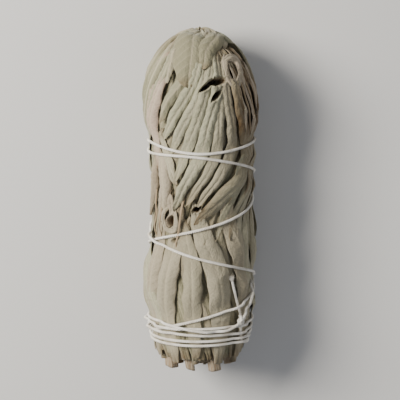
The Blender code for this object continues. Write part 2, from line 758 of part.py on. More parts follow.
def main():
    for old in list(bpy.data.objects):
        bpy.data.objects.remove(old)
    leaves = all_leaves()
    leaf_material = material("sage_leaf", LEAF_COLOUR, 0.9)
    thread_material = material("cotton_thread", THREAD_COLOUR, 0.85)
    sprigs = [outer_sprig(sprig, leaves) for sprig in range(OUTER_SPRIGS)] + [middle_sprig()]
    for made in sprigs:
        made.data.materials.append(leaf_material)
    bound = thread()
    bound.data.materials.append(thread_material)
    centre_on_origin(sprigs + [bound])


main()
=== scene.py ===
"""Dresses a tied bunch of dried sage: woolly folded leaves, woody stems and twisted cotton thread.

The bunch runs along Y with its cut ends at the low end, and lies on Z = 0. Its shapes are worked
out in millimetres from an axis up its middle: radius, angle and height from the cut ends.
"""

import math

import bpy
import numpy as np
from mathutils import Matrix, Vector


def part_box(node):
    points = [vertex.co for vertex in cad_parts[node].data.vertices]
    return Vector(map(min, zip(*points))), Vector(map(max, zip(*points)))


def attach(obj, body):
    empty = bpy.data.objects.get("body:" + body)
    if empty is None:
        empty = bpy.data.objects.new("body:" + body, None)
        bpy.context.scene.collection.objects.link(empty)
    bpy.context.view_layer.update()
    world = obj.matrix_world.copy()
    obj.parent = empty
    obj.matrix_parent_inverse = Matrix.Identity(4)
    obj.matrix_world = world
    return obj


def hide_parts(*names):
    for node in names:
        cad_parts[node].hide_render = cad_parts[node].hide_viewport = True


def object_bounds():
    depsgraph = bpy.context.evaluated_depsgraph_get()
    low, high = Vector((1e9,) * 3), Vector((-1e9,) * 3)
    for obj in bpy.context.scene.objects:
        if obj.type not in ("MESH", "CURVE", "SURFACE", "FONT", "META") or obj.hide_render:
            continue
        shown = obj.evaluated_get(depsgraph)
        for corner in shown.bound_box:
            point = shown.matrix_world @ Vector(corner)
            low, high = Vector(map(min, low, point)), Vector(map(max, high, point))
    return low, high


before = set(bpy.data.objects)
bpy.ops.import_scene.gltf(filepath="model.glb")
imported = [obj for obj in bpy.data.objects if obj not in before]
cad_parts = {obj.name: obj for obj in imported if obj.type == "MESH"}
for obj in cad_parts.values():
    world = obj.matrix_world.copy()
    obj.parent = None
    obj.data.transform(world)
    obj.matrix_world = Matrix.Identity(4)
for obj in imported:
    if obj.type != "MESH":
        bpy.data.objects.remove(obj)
cad_low, cad_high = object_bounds()


# The stage: a plain pale floor, soft light from the left as in the photograph, and a camera that
# looks down on the lying bunch, so its front faces up and its crown is at the top of the picture.
MM = 0.001
CAMERA_LEAN = math.radians(10)
CAMERA_DISTANCE = 620 * MM
SEEN_HEIGHT = 121 * MM
FLOOR_SIZE = 3000 * MM
FLOOR_COLOUR = (0.62, 0.61, 0.59, 1.0)
SKY_COLOUR = (0.86, 0.9, 1.0, 1.0)
SKY_STRENGTH = 0.27
SUN_COLOUR = (1.0, 0.965, 0.9)

middle = (cad_low + cad_high) / 2


def soft_light(name, place, size, watts, colour):
    """A square area light at a place over the bunch, turned to it."""
    data = bpy.data.lights.new(name, "AREA")
    data.size = size
    data.energy = watts
    data.color = colour
    light = bpy.data.objects.new(name, data)
    light.location = middle + Vector(place)
    light.rotation_euler = Vector(place).to_track_quat("Z", "Y").to_euler()
    bpy.context.scene.collection.objects.link(light)


lens = bpy.data.cameras.new("camera")
lens.sensor_fit = "VERTICAL"
lens.sensor_height = 24.0
lens.lens = lens.sensor_height * CAMERA_DISTANCE / SEEN_HEIGHT
lens.clip_start = 0.01
camera = bpy.data.objects.new("camera", lens)
camera.location = middle + CAMERA_DISTANCE * Vector((0, math.sin(CAMERA_LEAN), math.cos(CAMERA_LEAN)))
camera.rotation_euler = (-CAMERA_LEAN, 0, 0)
bpy.context.scene.collection.objects.link(camera)
bpy.context.scene.camera = camera

soft_light("window_light", (-0.42, 0.2, 0.38), 0.26, 7.7, SUN_COLOUR)
soft_light("far_light", (0.5, -0.1, 0.4), 0.6, 0.7, (0.93, 0.96, 1.0))

world = bpy.data.worlds.new("soft_room")
world.use_nodes = True
world.node_tree.nodes["Background"].inputs["Color"].default_value = SKY_COLOUR
world.node_tree.nodes["Background"].inputs["Strength"].default_value = SKY_STRENGTH
bpy.context.scene.world = world

half = FLOOR_SIZE / 2
floor_mesh = bpy.data.meshes.new("floor")
floor_corners = [(-half, -half, 0), (half, -half, 0), (half, half, 0), (-half, half, 0)]
floor_mesh.from_pydata(floor_corners, [], [(0, 1, 2, 3)])
floor = bpy.data.objects.new("floor", floor_mesh)
bpy.context.scene.collection.objects.link(floor)


def feed(tree, socket, value):
    """Gives an input of a node a value, or a link from another node's output."""
    if isinstance(value, bpy.types.NodeSocket):
        tree.links.new(value, socket)
    else:
        socket.default_value = value


def feed_node(tree, node, inputs):
    """Feeds a node's inputs by name, where underscores stand for spaces."""
    for name, value in inputs.items():
        feed(tree, node.inputs[name.replace("_", " ")], value)


def shader_of(name, **inputs):
    """A new material with those shader inputs: its node tree, its Principled shader and itself."""
    made = bpy.data.materials.new(name)
    made.use_nodes = True
    shader = made.node_tree.nodes["Principled BSDF"]
    feed_node(made.node_tree, shader, inputs)
    return made.node_tree, shader, made


floor_paint = shader_of("matt_pale_floor", Roughness=0.9, Base_Color=FLOOR_COLOUR)[2]
floor_mesh.materials.append(floor_paint)


# The cotton thread: one strand of undyed cotton, three plies twisted together. It is knotted near
# the cut ends, climbs round the bunch, goes round below the crown and comes back down to the knot.
LENGTH = 103.0
RADIUS = 16.8
CROWN_START = 82.0
CROWN_HEIGHT = LENGTH - CROWN_START
CROWN_RUN = 19.1
BASE_TAPER, BASE_RUN = 3.0, 9.0
WAIST_DEPTH, WAIST_PLACE, WAIST_RUN = 0.7, 48.0, 10.0
AXIS_HEIGHT = 15.5
BOW = 0.6
SAG, SAG_HEIGHT, FLOOR = 0.043, 4.0, 0.3

THREAD_RADIUS = 0.45
ROUTE_STEP = 0.8
FEWEST_STEPS_APART = 8
THREAD_ROUTE = (
    (-1315, 29.0),
    (-1308, 22.5),
    (-1300, 16.4),
    (-1298, 12.0),
    (-1293, 9.3),
    (-1276, 8.0),
    (-1200, 8.3),
    (-910, 9.45),
    (-550, 10.8),
    (-420, 11.2),
    (-360, 11.5),
    (-331, 12.6),
    (-290, 15.9),
    (-151, 26.5),
    (29, 40.3),
    (180, 51.8),
    (270, 61.5),
    (360, 69.4),
    (450, 67.4),
    (540, 69.7),
    (630, 68.9),
    (720, 66.3),
    (810, 66.2),
    (900, 60.0),
    (1000, 50.3),
    (1109, 40.3),
    (1199, 33.5),
    (1289, 26.0),
    (1350, 19.6),
    (1410, 14.2),
    (1480, 12.9),
    (1840, 14.3),
    (2200, 15.7),
    (2296, 16.4),
    (2306, 19.5),
    (2322, 27.0),
)
KNOT_TURN, KNOT_HEIGHT = 2298, 16.4
KNOT_RISE = 0.6
BITE, BITE_REACH = 1.5, 4.2
THREAD_GAP = 0.3
CROSSING_LIFT, CROSSING_RAMP = 1.25, 3.4
LOWEST_THREAD = THREAD_RADIUS + 0.06
PLIES, PLY_SIDES = 3, 6
PLY_RADIUS, PLY_OFFSET, PLY_SWELL = 0.245, 0.205, 0.06
TWIST_PITCH = 2.3
YARN_STEP = 0.26
COTTON_PALE = (0.86, 0.83, 0.76, 1.0)
COTTON_DULL = (0.62, 0.56, 0.46, 1.0)


def smooth_curve(places, values, at):
    """A smooth line through the values at those places, read at each entry of at (cubic Hermite)."""
    places = np.asarray(places, float)
    values = np.asarray(values, float)
    slopes = np.gradient(values, places)
    at = np.clip(at, places[0], places[-1])
    i = np.clip(np.searchsorted(places, at) - 1, 0, len(places) - 2)
    span = places[i + 1] - places[i]
    t = (at - places[i]) / span
    start = values[i] * (1 + 2 * t) * (1 - t) ** 2 + slopes[i] * span * t * (1 - t) ** 2
    end = values[i + 1] * t**2 * (3 - 2 * t) - slopes[i + 1] * span * t**2 * (1 - t)
    return start + end


def smooth_step(x):
    """0 up to x = 0, 1 from x = 1, and a smooth rise between."""
    x = np.clip(x, 0, 1)
    return x * x * (3 - 2 * x)


def bell(x):
    """A bell curve: 1 at x = 0, and the exponential of minus x squared away from it."""
    return np.exp(-(x**2))


def side_radius(s):
    """Radius of the bunch below the crown: narrow at the cut ends, with a slight waist."""
    return RADIUS - BASE_TAPER * bell(s / BASE_RUN) - WAIST_DEPTH * bell((s - WAIST_PLACE) / WAIST_RUN)


def outline(along):
    """Radius and height at a distance along the outline, and its outward direction there.

    The outline goes straight up the side, then over the crown as a quarter of an ellipse.
    """
    rise = np.clip((along - CROWN_START) / CROWN_RUN, 0, math.pi / 2)
    on_side = along < CROWN_START
    r = np.where(on_side, side_radius(along), RADIUS * np.cos(rise))
    s = np.where(on_side, along, CROWN_START + CROWN_HEIGHT * np.sin(rise))
    out_r = np.where(on_side, 1.0, CROWN_HEIGHT * np.cos(rise))
    out_s = np.where(on_side, 0.0, RADIUS * np.sin(rise))
    size = np.hypot(out_r, out_s)
    return r, s, out_r / size, out_s / size


def side_by_side(*values):
    """Those values spread to one shape, and put together as the last axis of one array."""
    return np.stack(np.broadcast_arrays(*values), -1)


def place(r, theta, s):
    """Points from radius, angle and height in the bunch. The underside is a little flatter."""
    x = r * np.cos(theta) + BOW * np.sin(math.pi * s / LENGTH)
    z = AXIS_HEIGHT + r * np.sin(theta)
    z = z + SAG * np.maximum(0, SAG_HEIGHT - z) ** 2 - FLOOR
    return side_by_side(x, s - LENGTH / 2, z)


def keep_above(points, lowest):
    """The points, with those near or under a height eased up to it (half of z plus its distance)."""
    over = points[..., 2] - lowest
    points[..., 2] = lowest + 0.5 * (over + np.hypot(over, 0.15))
    return points


turns, heights = np.array(THREAD_ROUTE, float).T
steps = np.hypot(np.diff(np.radians(turns)) * RADIUS, np.diff(heights))
route_length = np.concatenate([[0], np.cumsum(steps)])
route_at = np.arange(0, route_length[-1], ROUTE_STEP)
route_theta = math.pi - np.radians(smooth_curve(route_length, turns, route_at))
route_s = smooth_curve(route_length, heights, route_at)


def crossing_lifts(at, theta, s):
    """How far each point of the route rises to clear the passes under it.

    Two short steps of the route cross where the shares of each that reach the crossing both lie
    between 0 and 1. The later pass then rises there in a smooth hump over the earlier one.
    """
    circumference = math.tau * RADIUS
    around = RADIUS * theta
    step_around, step_s = np.diff(around), np.diff(s)
    later, earlier = np.nonzero(np.tri(len(at) - 1, k=-FEWEST_STEPS_APART))
    offset = (around[earlier] - around[later] + circumference / 2) % circumference - circumference / 2
    rise = s[earlier] - s[later]
    cross = step_around[later] * step_s[earlier] - step_s[later] * step_around[earlier]
    cross = np.where(np.abs(cross) < 1e-9, 1e-9, cross)
    share_later = (offset * step_s[earlier] - rise * step_around[earlier]) / cross
    share_earlier = (offset * step_s[later] - rise * step_around[later]) / cross
    meets = (share_later >= 0) & (share_later < 1) & (share_earlier >= 0) & (share_earlier < 1)
    lift = np.zeros(len(at))
    step_size = np.hypot(step_around, step_s)
    for over, under, area in zip(later[meets], earlier[meets], cross[meets]):
        sine = max(0.2, abs(area) / step_size[over] / step_size[under])
        away = np.maximum(0, np.abs(at - at[over]) - 2.3 * THREAD_RADIUS / sine) / CROSSING_RAMP
        lift = np.maximum(lift, (lift[under] + CROSSING_LIFT) * smooth_step(1 - away))
    return lift


route_lift = crossing_lifts(route_at, route_theta, route_s)


def thread_nearness(theta, s, reach):
    """1 on the thread's line at an angle and height, falling to 0 away from it as a bell curve."""
    circumference = math.tau * RADIUS
    gap_around = RADIUS * (theta[..., None] - route_theta[::3])
    gap_around = (gap_around + circumference / 2) % circumference - circumference / 2
    gap = np.hypot(gap_around, s[..., None] - route_s[::3]).min(-1)
    return bell(gap / reach)


def thread_path(step):
    """Points along the middle of the thread, a step apart."""
    at = np.arange(0, route_at[-1], step)
    s = np.interp(at, route_at, route_s)
    r = side_radius(s) - BITE + THREAD_RADIUS + THREAD_GAP + np.interp(at, route_at, route_lift)
    return keep_above(place(r, np.interp(at, route_at, route_theta), s), LOWEST_THREAD)


# The frame's own thread says how far the bunch was moved to stand over the origin
thread_low, thread_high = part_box("thread")
path = thread_path(ROUTE_STEP)
shift = Vector(
    (
        (thread_low.x + thread_high.x) / 2 - MM * (path[:, 0].min() + path[:, 0].max()) / 2,
        cad_low.y + MM * LENGTH / 2,
        0,
    )
)


def across_path(ahead, out):
    """The two directions across a path that goes ahead: to its side, and square to that on the out side."""
    ahead = ahead / np.linalg.norm(ahead, axis=1)[:, None]
    side = np.cross(ahead, out)
    side /= np.linalg.norm(side, axis=1)[:, None]
    return side, np.cross(side, ahead)


def across_on_bunch(points):
    """The two directions across a path on the bunch: along the surface, and out from its axis."""
    from_axis = points * (1, 0, 1) - (0, 0, AXIS_HEIGHT)
    return across_path(np.gradient(points, axis=0), from_axis)


def tube_grid(points, side, other, radius, sides):
    """Rings of points round a path: radius times the cosine along side and the sine along other."""
    angles = np.arange(sides) * math.tau / sides
    ring = np.cos(angles)[None, :, None] * side[:, None] + np.sin(angles)[None, :, None] * other[:, None]
    return points[:, None] + np.asarray(radius)[..., None, None] * ring


def tube_faces(rings, sides, first, joined=False):
    """Quads between successive rings, counted from a first point, with the ends joined up or capped."""
    i, j = np.meshgrid(np.arange(rings if joined else rings - 1), np.arange(sides), indexing="ij")
    ring, ahead = i * sides, (i + 1) % rings * sides
    after = (j + 1) % sides
    quads = np.stack([ring + j, ahead + j, ahead + after, ring + after], -1).reshape(-1, 4) + first
    if joined:
        return quads.tolist()
    round_ring = first + np.arange(sides)
    return quads.tolist() + [tuple(round_ring), tuple((rings - 1) * sides + round_ring[::-1])]


def plies(middle_line, side, other, turned, swell, joined=False):
    """The plies of a yarn, tubes twisted round its middle line: their points and faces.

    Each tube's radius swells and shrinks a little as a sine of how far the yarn has turned.
    """
    points, faces = [], []
    for ply in range(PLIES):
        turn = turned + ply * math.tau / PLIES
        off = np.cos(turn)[:, None] * side + np.sin(turn)[:, None] * other
        thickness = PLY_RADIUS * (1 + swell * np.sin(turned * 0.37 + ply * 2.1))
        points.append(tube_grid(middle_line + PLY_OFFSET * off, side, other, thickness, PLY_SIDES))
        first = ply * len(middle_line) * PLY_SIDES
        faces += tube_faces(len(middle_line), PLY_SIDES, first, joined)
    return points, faces


def dressed(name, points, faces, paint, node, uv=None, tone=None):
    """A piece on the body from points in the bunch's millimetres, which stands for a node of the frame.

    uv and tone give each point its place on the piece in millimetres, and the three values from which
    its material makes its colour: on a leaf they are shade, darkening from ageing and painted shade, and
    warmth.
    """
    points = np.asarray(points, float).reshape(-1, 3) * MM + np.array(shift)
    mesh = bpy.data.meshes.new(name)
    mesh.from_pydata(points.tolist(), [], [tuple(int(i) for i in face) for face in faces])
    mesh.polygons.foreach_set("use_smooth", np.ones(len(mesh.polygons), bool))
    corner_point = np.empty(len(mesh.loops), np.int32)
    mesh.loops.foreach_get("vertex_index", corner_point)
    if uv is not None:
        layer = mesh.uv_layers.new(name="along_the_piece")
        layer.data.foreach_set("uv", np.asarray(uv, np.float32).reshape(-1, 2)[corner_point].ravel())
    if tone is not None:
        colours = np.concatenate([np.asarray(tone, float).reshape(-1, 3), np.ones((len(points), 1))], 1)
        layer = mesh.color_attributes.new("tone", "FLOAT_COLOR", "POINT")
        layer.data.foreach_set("color", colours.astype(np.float32).ravel())
    mesh.materials.append(paint)
    piece = bpy.data.objects.new(name, mesh)
    bpy.context.scene.collection.objects.link(piece)
    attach(piece, "root")
    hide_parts(node)


def add_node(tree, kind, **inputs):
    """A shader node with those inputs, each a value or another node's output."""
    node = tree.nodes.new(kind)
    feed_node(tree, node, inputs)
    return node


def ramp(tree, low, high, source):
    """Maps a value from low..high to 0..1 with smooth ends. low may be above high."""
    least, most = min(low, high), max(low, high)
    ends = {"To_Min": float(low > high), "To_Max": float(low <= high)}
    node = add_node(tree, "ShaderNodeMapRange", Value=source, From_Min=least, From_Max=most, **ends)
    node.interpolation_type = "SMOOTHSTEP"
    return node.outputs["Result"]


def sum_of(tree, operation, first, second):
    """One math step of two values, each a number or a socket."""
    node = tree.nodes.new("ShaderNodeMath")
    node.operation = operation
    feed(tree, node.inputs[0], first)
    feed(tree, node.inputs[1], second)
    return node.outputs[0]


def blend_colours(tree, share, first, second):
    """A mix of two colours, each a value or a socket, by a share that is a number or a socket."""
    node = tree.nodes.new("ShaderNodeMix")
    node.data_type = "RGBA"
    for number, value in ((0, share), (6, first), (7, second)):
        feed(tree, node.inputs[number], value)
    return node.outputs[2]


def tint(tree, colour, mask, strength, other):
    """A colour taken towards another where a mask is 1, as far as a strength."""
    return blend_colours(tree, sum_of(tree, "MULTIPLY", mask, strength), colour, other)


# Fine fibres, for every dry surface here: mottling that changes the colour, and short fibres that raise it
fibres = bpy.data.node_groups.new("fine_fibres", "ShaderNodeTree")
for way, titles in (("INPUT", ("Fibre Size", "Mottle Size")), ("OUTPUT", ("Mottle", "Fibres"))):
    for title in titles:
        fibres.interface.new_socket(title, in_out=way, socket_type="NodeSocketFloat")
fibres_in, fibres_out = fibres.nodes.new("NodeGroupInput"), fibres.nodes.new("NodeGroupOutput")
where = fibres.nodes.new("ShaderNodeTexCoord").outputs["Object"]
for title, size, detail in (("Mottle", "Mottle Size", 4.0), ("Fibres", "Fibre Size", 2.0)):
    scale = sum_of(fibres, "DIVIDE", 1000.0, fibres_in.outputs[size])
    noise = add_node(fibres, "ShaderNodeTexNoise", Vector=where, Scale=scale, Detail=detail, Roughness=0.6)
    feed(fibres, fibres_out.inputs[title], noise.outputs["Fac"])


def fine_fibres(tree, fibre_size, mottle_size):
    """The fine-fibre group placed in a material with its own sizes in millimetres."""
    node = tree.nodes.new("ShaderNodeGroup")
    node.node_tree = fibres
    feed_node(tree, node, {"Fibre Size": fibre_size, "Mottle Size": mottle_size})
    return node.outputs["Mottle"], node.outputs["Fibres"]


def raise_by(tree, shader, height, distance):
    """Gives a shader a bump from a height, for relief of a distance in millimetres."""
    bump = add_node(tree, "ShaderNodeBump", Strength=1.0, Distance=distance * MM, Height=height)
    feed(tree, shader.inputs["Normal"], bump.outputs["Normal"])


cotton, cotton_shader, cotton_paint = shader_of(
    "undyed_cotton", Roughness=0.85, Sheen_Weight=0.35, Sheen_Roughness=0.5, Specular_IOR_Level=0.3
)
mottle, lint = fine_fibres(cotton, 0.11, 4.0)
cotton_colour = blend_colours(cotton, ramp(cotton, 0.42, 0.72, mottle), COTTON_PALE, COTTON_DULL)
cotton_colour = blend_colours(cotton, ramp(cotton, 0.55, 0.3, lint), cotton_colour, COTTON_DULL)
feed(cotton, cotton_shader.inputs["Base Color"], cotton_colour)
raise_by(cotton, cotton_shader, lint, 0.06)

yarn_path = thread_path(YARN_STEP)
yarn_side, yarn_out = across_on_bunch(yarn_path)
yarn_turn = np.arange(len(yarn_path)) * YARN_STEP * math.tau / TWIST_PITCH
yarn_points, yarn_faces = plies(yarn_path, yarn_side, yarn_out, yarn_turn, PLY_SWELL)
dressed("cotton_thread", yarn_points, yarn_faces, cotton_paint, "thread")

# The knot, where the end of the thread is tied round its start: the same yarn in a tight overhand
# turn, which comes to a lump a little longer than it is wide
KNOT_REACH = (0.62, 0.5, 0.36)
KNOT_RINGS, KNOT_TWISTS = 120, 7
knot_theta = math.pi - math.radians(KNOT_TURN)
knot_r = side_radius(KNOT_HEIGHT) - BITE + THREAD_RADIUS + THREAD_GAP + KNOT_RISE
knot_middle = place(knot_r, knot_theta, KNOT_HEIGHT)
knot_cos, knot_sin = math.cos(knot_theta), math.sin(knot_theta)
knot_axes = np.array([(0, 1, 0), (-knot_sin, 0, knot_cos), (knot_cos, 0, knot_sin)])
round_knot = np.linspace(0, math.tau, KNOT_RINGS, endpoint=False)
knot_curve = np.stack(
    [
        KNOT_REACH[0] * (np.sin(round_knot) + 2 * np.sin(2 * round_knot)) / 1.5,
        KNOT_REACH[1] * (np.cos(round_knot) - 2 * np.cos(2 * round_knot)) / 1.5,
        -KNOT_REACH[2] * 1.6 * np.sin(3 * round_knot),
    ],
    1,
)
knot_path = knot_middle + knot_curve @ knot_axes
knot_ahead = np.roll(knot_path, -1, 0) - np.roll(knot_path, 1, 0)
knot_side, knot_other = across_path(knot_ahead, knot_path - knot_middle)
knot_points, knot_faces = plies(knot_path, knot_side, knot_other, round_knot * KNOT_TWISTS, 0.0, joined=True)
dressed("thread_knot", knot_points, knot_faces, cotton_paint, "thread")

# Loose fibres of the yarn: fine bent hairs that stand off the strand all along it
LINT_COUNT = 2600
LINT_LENGTH, LINT_WIDTH = 0.85, 0.022
LINT_DEPTH = 0.35
HAIR_RINGS = 4
LOWEST_HAIR = 0.02
lint_rule = np.random.default_rng(3)
lint_at = lint_rule.integers(2, len(yarn_path) - 2, LINT_COUNT)
lint_turn = lint_rule.uniform(0, math.tau, LINT_COUNT)
lint_start = yarn_path[lint_at]
lint_out = np.cos(lint_turn)[:, None] * yarn_side[lint_at] + np.sin(lint_turn)[:, None] * yarn_out[lint_at]
yarn_ahead = np.gradient(yarn_path, axis=0)[lint_at] / YARN_STEP
lint_lean = lint_rule.uniform(-1.4, 1.4, LINT_COUNT)[:, None] * yarn_ahead
lint_reach = LINT_LENGTH * lint_rule.uniform(0.3, 1.0, LINT_COUNT)[:, None]
lint_droop = lint_rule.normal(0, 0.5, (LINT_COUNT, 3))


def hairs(starts, out, lean_over, droop, reach, width):
    """Fine hairs as closed three-sided spikes, bent along their droop as a parabola, above the floor."""
    along_hair = np.linspace(0, 1, HAIR_RINGS)[None, :, None]
    middle_line = starts[:, None] + along_hair * reach[:, None] * (out + lean_over)[:, None]
    middle_line = middle_line + along_hair**2 * reach[:, None] * droop[:, None]
    across = np.cross(out + lean_over, out + droop + 0.01)
    across /= np.linalg.norm(across, axis=1)[:, None] + 1e-9
    other = np.cross(across, out)
    taper = width / 2 * (1 - 0.85 * along_hair)
    corners = []
    for degrees in (0, 120, 240):
        turn = math.radians(degrees)
        corners.append(middle_line + taper * (math.cos(turn) * across + math.sin(turn) * other)[:, None])
    points = np.stack(corners, 2)
    points[..., 2] = np.maximum(points[..., 2], LOWEST_HAIR)
    *quads, root, tip = tube_faces(HAIR_RINGS, 3, 0)
    first = HAIR_RINGS * 3 * np.arange(len(starts))[:, None]
    faces = (first[:, None] + np.array(quads)).reshape(-1, 4).tolist()
    faces += (first + np.array(root)).tolist() + (first + np.array(tip)).tolist()
    return points, faces


lint_start = lint_start + LINT_DEPTH * lint_out
lint_points, lint_faces = hairs(lint_start, lint_out, lint_lean, lint_droop, lint_reach, LINT_WIDTH)
dressed("thread_lint", lint_points, lint_faces, cotton_paint, "thread")

# The two ends of the thread are cut and have come untwisted into a small brush of fibres
BRUSH_COUNT, BRUSH_LENGTH, BRUSH_FIBRE = 150, 2.2, 0.05
brush_starts, brush_out = [], []
for end, direction in ((0, -1), (-1, 1)):
    ahead = np.gradient(yarn_path, axis=0)[end] / YARN_STEP * direction
    turn = lint_rule.uniform(0, math.tau, BRUSH_COUNT)
    off = np.cos(turn)[:, None] * yarn_side[end] + np.sin(turn)[:, None] * yarn_out[end]
    spread = lint_rule.uniform(0, 1, (BRUSH_COUNT, 1)) ** 0.5
    brush_starts.append(yarn_path[end] + 0.38 * spread * off - 0.5 * ahead)
    brush_out.append(ahead + 0.35 * spread * off)
brush_points, brush_faces = hairs(
    np.concatenate(brush_starts),
    np.concatenate(brush_out),
    np.zeros((2 * BRUSH_COUNT, 3)),
    lint_rule.normal(0, 0.16, (2 * BRUSH_COUNT, 3)),
    BRUSH_LENGTH * lint_rule.uniform(0.5, 1.0, (2 * BRUSH_COUNT, 1)),
    BRUSH_FIBRE,
)
dressed("thread_ends", brush_points, brush_faces, cotton_paint, "thread")


# The leaves: dried white sage, pale and woolly, with rolled edges. Long ones are folded over the crown
# so that their tips hang down the side, and broad ones stand up from the cut ends under those tips.
# Each grows from the stem of its own sprig, and the leaves of a sprig are one piece.
OUTER_SPRIGS = 8
SPRIG_ANGLE = math.tau / OUTER_SPRIGS
LEAN_PLACES = (0, 20, 38, 46, 58, 70, 82, 95, 104)
LEAN_ANGLES = (-0.9, -0.5, 0.0, -0.1, -0.58, -1.1, -1.55, -1.9, -1.95)
OVERLAP_LEAN, OVERLAP_DEPTH = 1.0, 4.5
TIGHTEST_BEND = 1.3
SEED = 41
FOLDED_SHARES = (0.16, 0.5, 0.84)
LOWER_SHARES = (0.25, 0.72)
FRONT_FOLDED_ZONE = (20, 166)
FRONT_LOWER_ZONE = (22, 162)

# The leaves seen from the front: half width, curl, lift and the middle line from root to tip,
# each of its points as x and the distance along the outline
FRONT_FOLDED = (
    (6.6, 1.3, 1.0, ((-1.0, 107), (-2.2, 97), (-3.4, 86.5))),
    (2.5, 2.7, 0.3, ((-2.0, 97), (-5.2, 88), (-9.3, 83), (-12.4, 76))),
    (2.7, 2.8, 0.5, ((0.5, 97), (-2.9, 86), (-7.4, 79), (-11.6, 71))),
    (2.6, 2.8, 0.4, ((2.0, 96), (-1.0, 83), (-5.6, 75), (-10.2, 66))),
    (2.6, 2.6, 0.6, ((3.5, 95), (2.2, 87), (-1.9, 75), (-4.7, 68.5), (-7.6, 59))),
    (3.1, 2.8, 0.5, ((4.5, 97), (4.8, 85), (1.9, 75), (0.6, 69), (-1.6, 64), (-4.9, 58), (-8.3, 50))),
    (2.4, 2.8, 0.1, ((5.5, 97), (6.0, 85), (5.5, 75), (5.2, 69), (2.3, 62), (-1.2, 57), (-4.9, 51.5))),
    (2.7, 2.8, 0.3, ((6.5, 96), (8.0, 84), (9.6, 75), (9.7, 69), (6.6, 62), (2.6, 56.6), (-1.8, 51))),
    (3.7, 2.2, 0.6, ((7.5, 96), (11.0, 83), (13.4, 74), (14.4, 67), (13.2, 60.5), (7.7, 55), (-2.5, 46))),
    (2.8, 2.4, 0.6, ((-10.5, 90), (-13.4, 83), (-14.9, 77), (-14.4, 69.5), (-13.3, 62))),
    (2.2, 2.6, 0.1, ((-8.5, 97), (-12.5, 92), (-15.6, 84), (-16.0, 75))),
    (2.0, 2.8, 0.1, ((-12.7, 72), (-10.8, 66), (-7.6, 57.5))),
    (2.7, 2.6, 0.3, ((-13.4, 68), (-11.8, 61), (-11.6, 52), (-12.4, 46))),
)
FRONT_LOWER = (
    (3.4, 1.8, 0.2, ((-13.0, 4), (-15.2, 20), (-14.3, 34), (-12.2, 50))),
    (3.6, 1.7, 0.3, ((-7.5, 3), (-10.6, 18), (-9.8, 33), (-6.5, 52))),
    (3.4, 1.8, 0.1, ((-1.0, 5), (-2.5, 20), (-3.0, 33), (-6.0, 48))),
    (4.3, 1.6, 0.4, ((6.0, 3), (6.6, 18), (4.4, 34), (0.4, 43), (-2.6, 53))),
    (4.4, 1.6, 0.3, ((12.0, 4), (14.2, 20), (13.2, 34), (9.6, 44), (6.6, 54))),
)

# How each of them looks: shade, ageing, warmth, and how far towards the tip it is widest. On the first, the
# cap leaf, the shade of 1.0 is painted shade that darkens it where it faces the light.
FRONT_LOOKS = (
    (1.0, 0.08, 0.10, 1.0),
    (0.70, 0.08, 0.05, 1.0),
    (0.30, 0.02, 0.00, 1.0),
    (0.20, 0.02, 0.05, 1.0),
    (0.35, 0.04, 0.05, 1.2),
    (0.20, 0.03, 0.05, 1.3),
    (0.45, 0.06, 0.20, 1.3),
    (0.40, 0.08, 0.25, 1.3),
    (0.50, 0.12, 0.15, 2.0),
    (0.10, 0.03, 0.90, 1.0),
    (0.15, 0.05, 0.80, 1.0),
    (0.20, 0.02, 0.20, 1.0),
    (0.25, 0.05, 0.50, 1.0),
    (0.50, 0.06, 0.40, 1.0),
    (0.45, 0.04, 0.30, 1.0),
    (0.60, 0.05, 0.25, 1.0),
    (0.45, 0.03, 0.30, 1.0),
    (0.60, 0.10, 0.35, 1.0),
)

# Where curled leaves leave an opening into the bunch: x, height, half length, half width, turn in
# degrees from across the bunch, and depth
OPENINGS = (
    (1.6, 87.3, 2.3, 0.65, 35, 4.5),
    (4.8, 88.7, 2.7, 1.05, 8, 5.5),
    (4.5, 84.7, 1.9, 0.75, 45, 5.0),
    (9.3, 90.6, 2.3, 1.05, 108, 5.0),
    (13.4, 84.5, 6.5, 1.7, 108, 2.8),
    (-1.6, 50.6, 1.5, 0.8, 20, 4.5),
    (-8.5, 41.0, 0.9, 0.6, 0, 3.0),
    (-9.2, 46.8, 1.7, 0.9, 75, 3.0),
)
LIP_RISE = 0.4
# Painted brown shade that a leaf takes on for each millimetre it sinks into an opening
SUNK_SHADE = 0.35

# Where the leaves are painted darker and browner as shade, most strongly at the shaded right of the crown: x,
# height, how far it spreads across and up, and how strongly
PAINTED_SHADE_SPOTS = ((15.2, 82.0, 5.0, 13.0, 1.15), (16.4, 57.0, 3.2, 8.0, 0.4), (-11.5, 44.0, 3.5, 6.0, 0.15))

# The front leaf that has browned a little along one side, and those that cross the openings, which
# are made with finer grids. The front leaves are a touch fuller and flatter than in the frame. Each
# grid is the rows of points along a leaf and the columns across it.
BROWN_SIDED, SIDE_AGE = 8, 0.2
FINELY_MADE = (4, 5, 6, 7, 8)
FULLER, FLATTER = 1.04, 0.98
FRONT_GRID, FINE_GRID, SMALL_GRID, SIDE_GRID = (110, 29), (150, 33), (90, 21), (90, 23)

BLADE, BLADE_EDGE = 0.42, 0.16
MARGIN_ROLL, MARGIN_START = 1.2, 0.8
TIP_START = 0.86
VEIN_GAP, VEIN_SLANT = 2.7, 0.95
LOWEST_LEAF = 0.1
STALK_SHARE = 0.16


def lean(s):
    """How far round the bunch the sprigs have turned at a height."""
    return smooth_curve(LEAN_PLACES, LEAN_ANGLES, s)


def overlap(r):
    """Angle by which a sprig laps over the next one at a radius: none inside, most at the surface."""
    return OVERLAP_LEAN * np.maximum(0, r - (RADIUS - OVERLAP_DEPTH)) / r


def leaf_line(leaf, along):
    """Angle of a leaf's middle line at a distance along the outline."""
    places, angles = np.array(leaf["line"]).T
    order = np.argsort(places)
    return smooth_curve(places[order], angles[order], along)


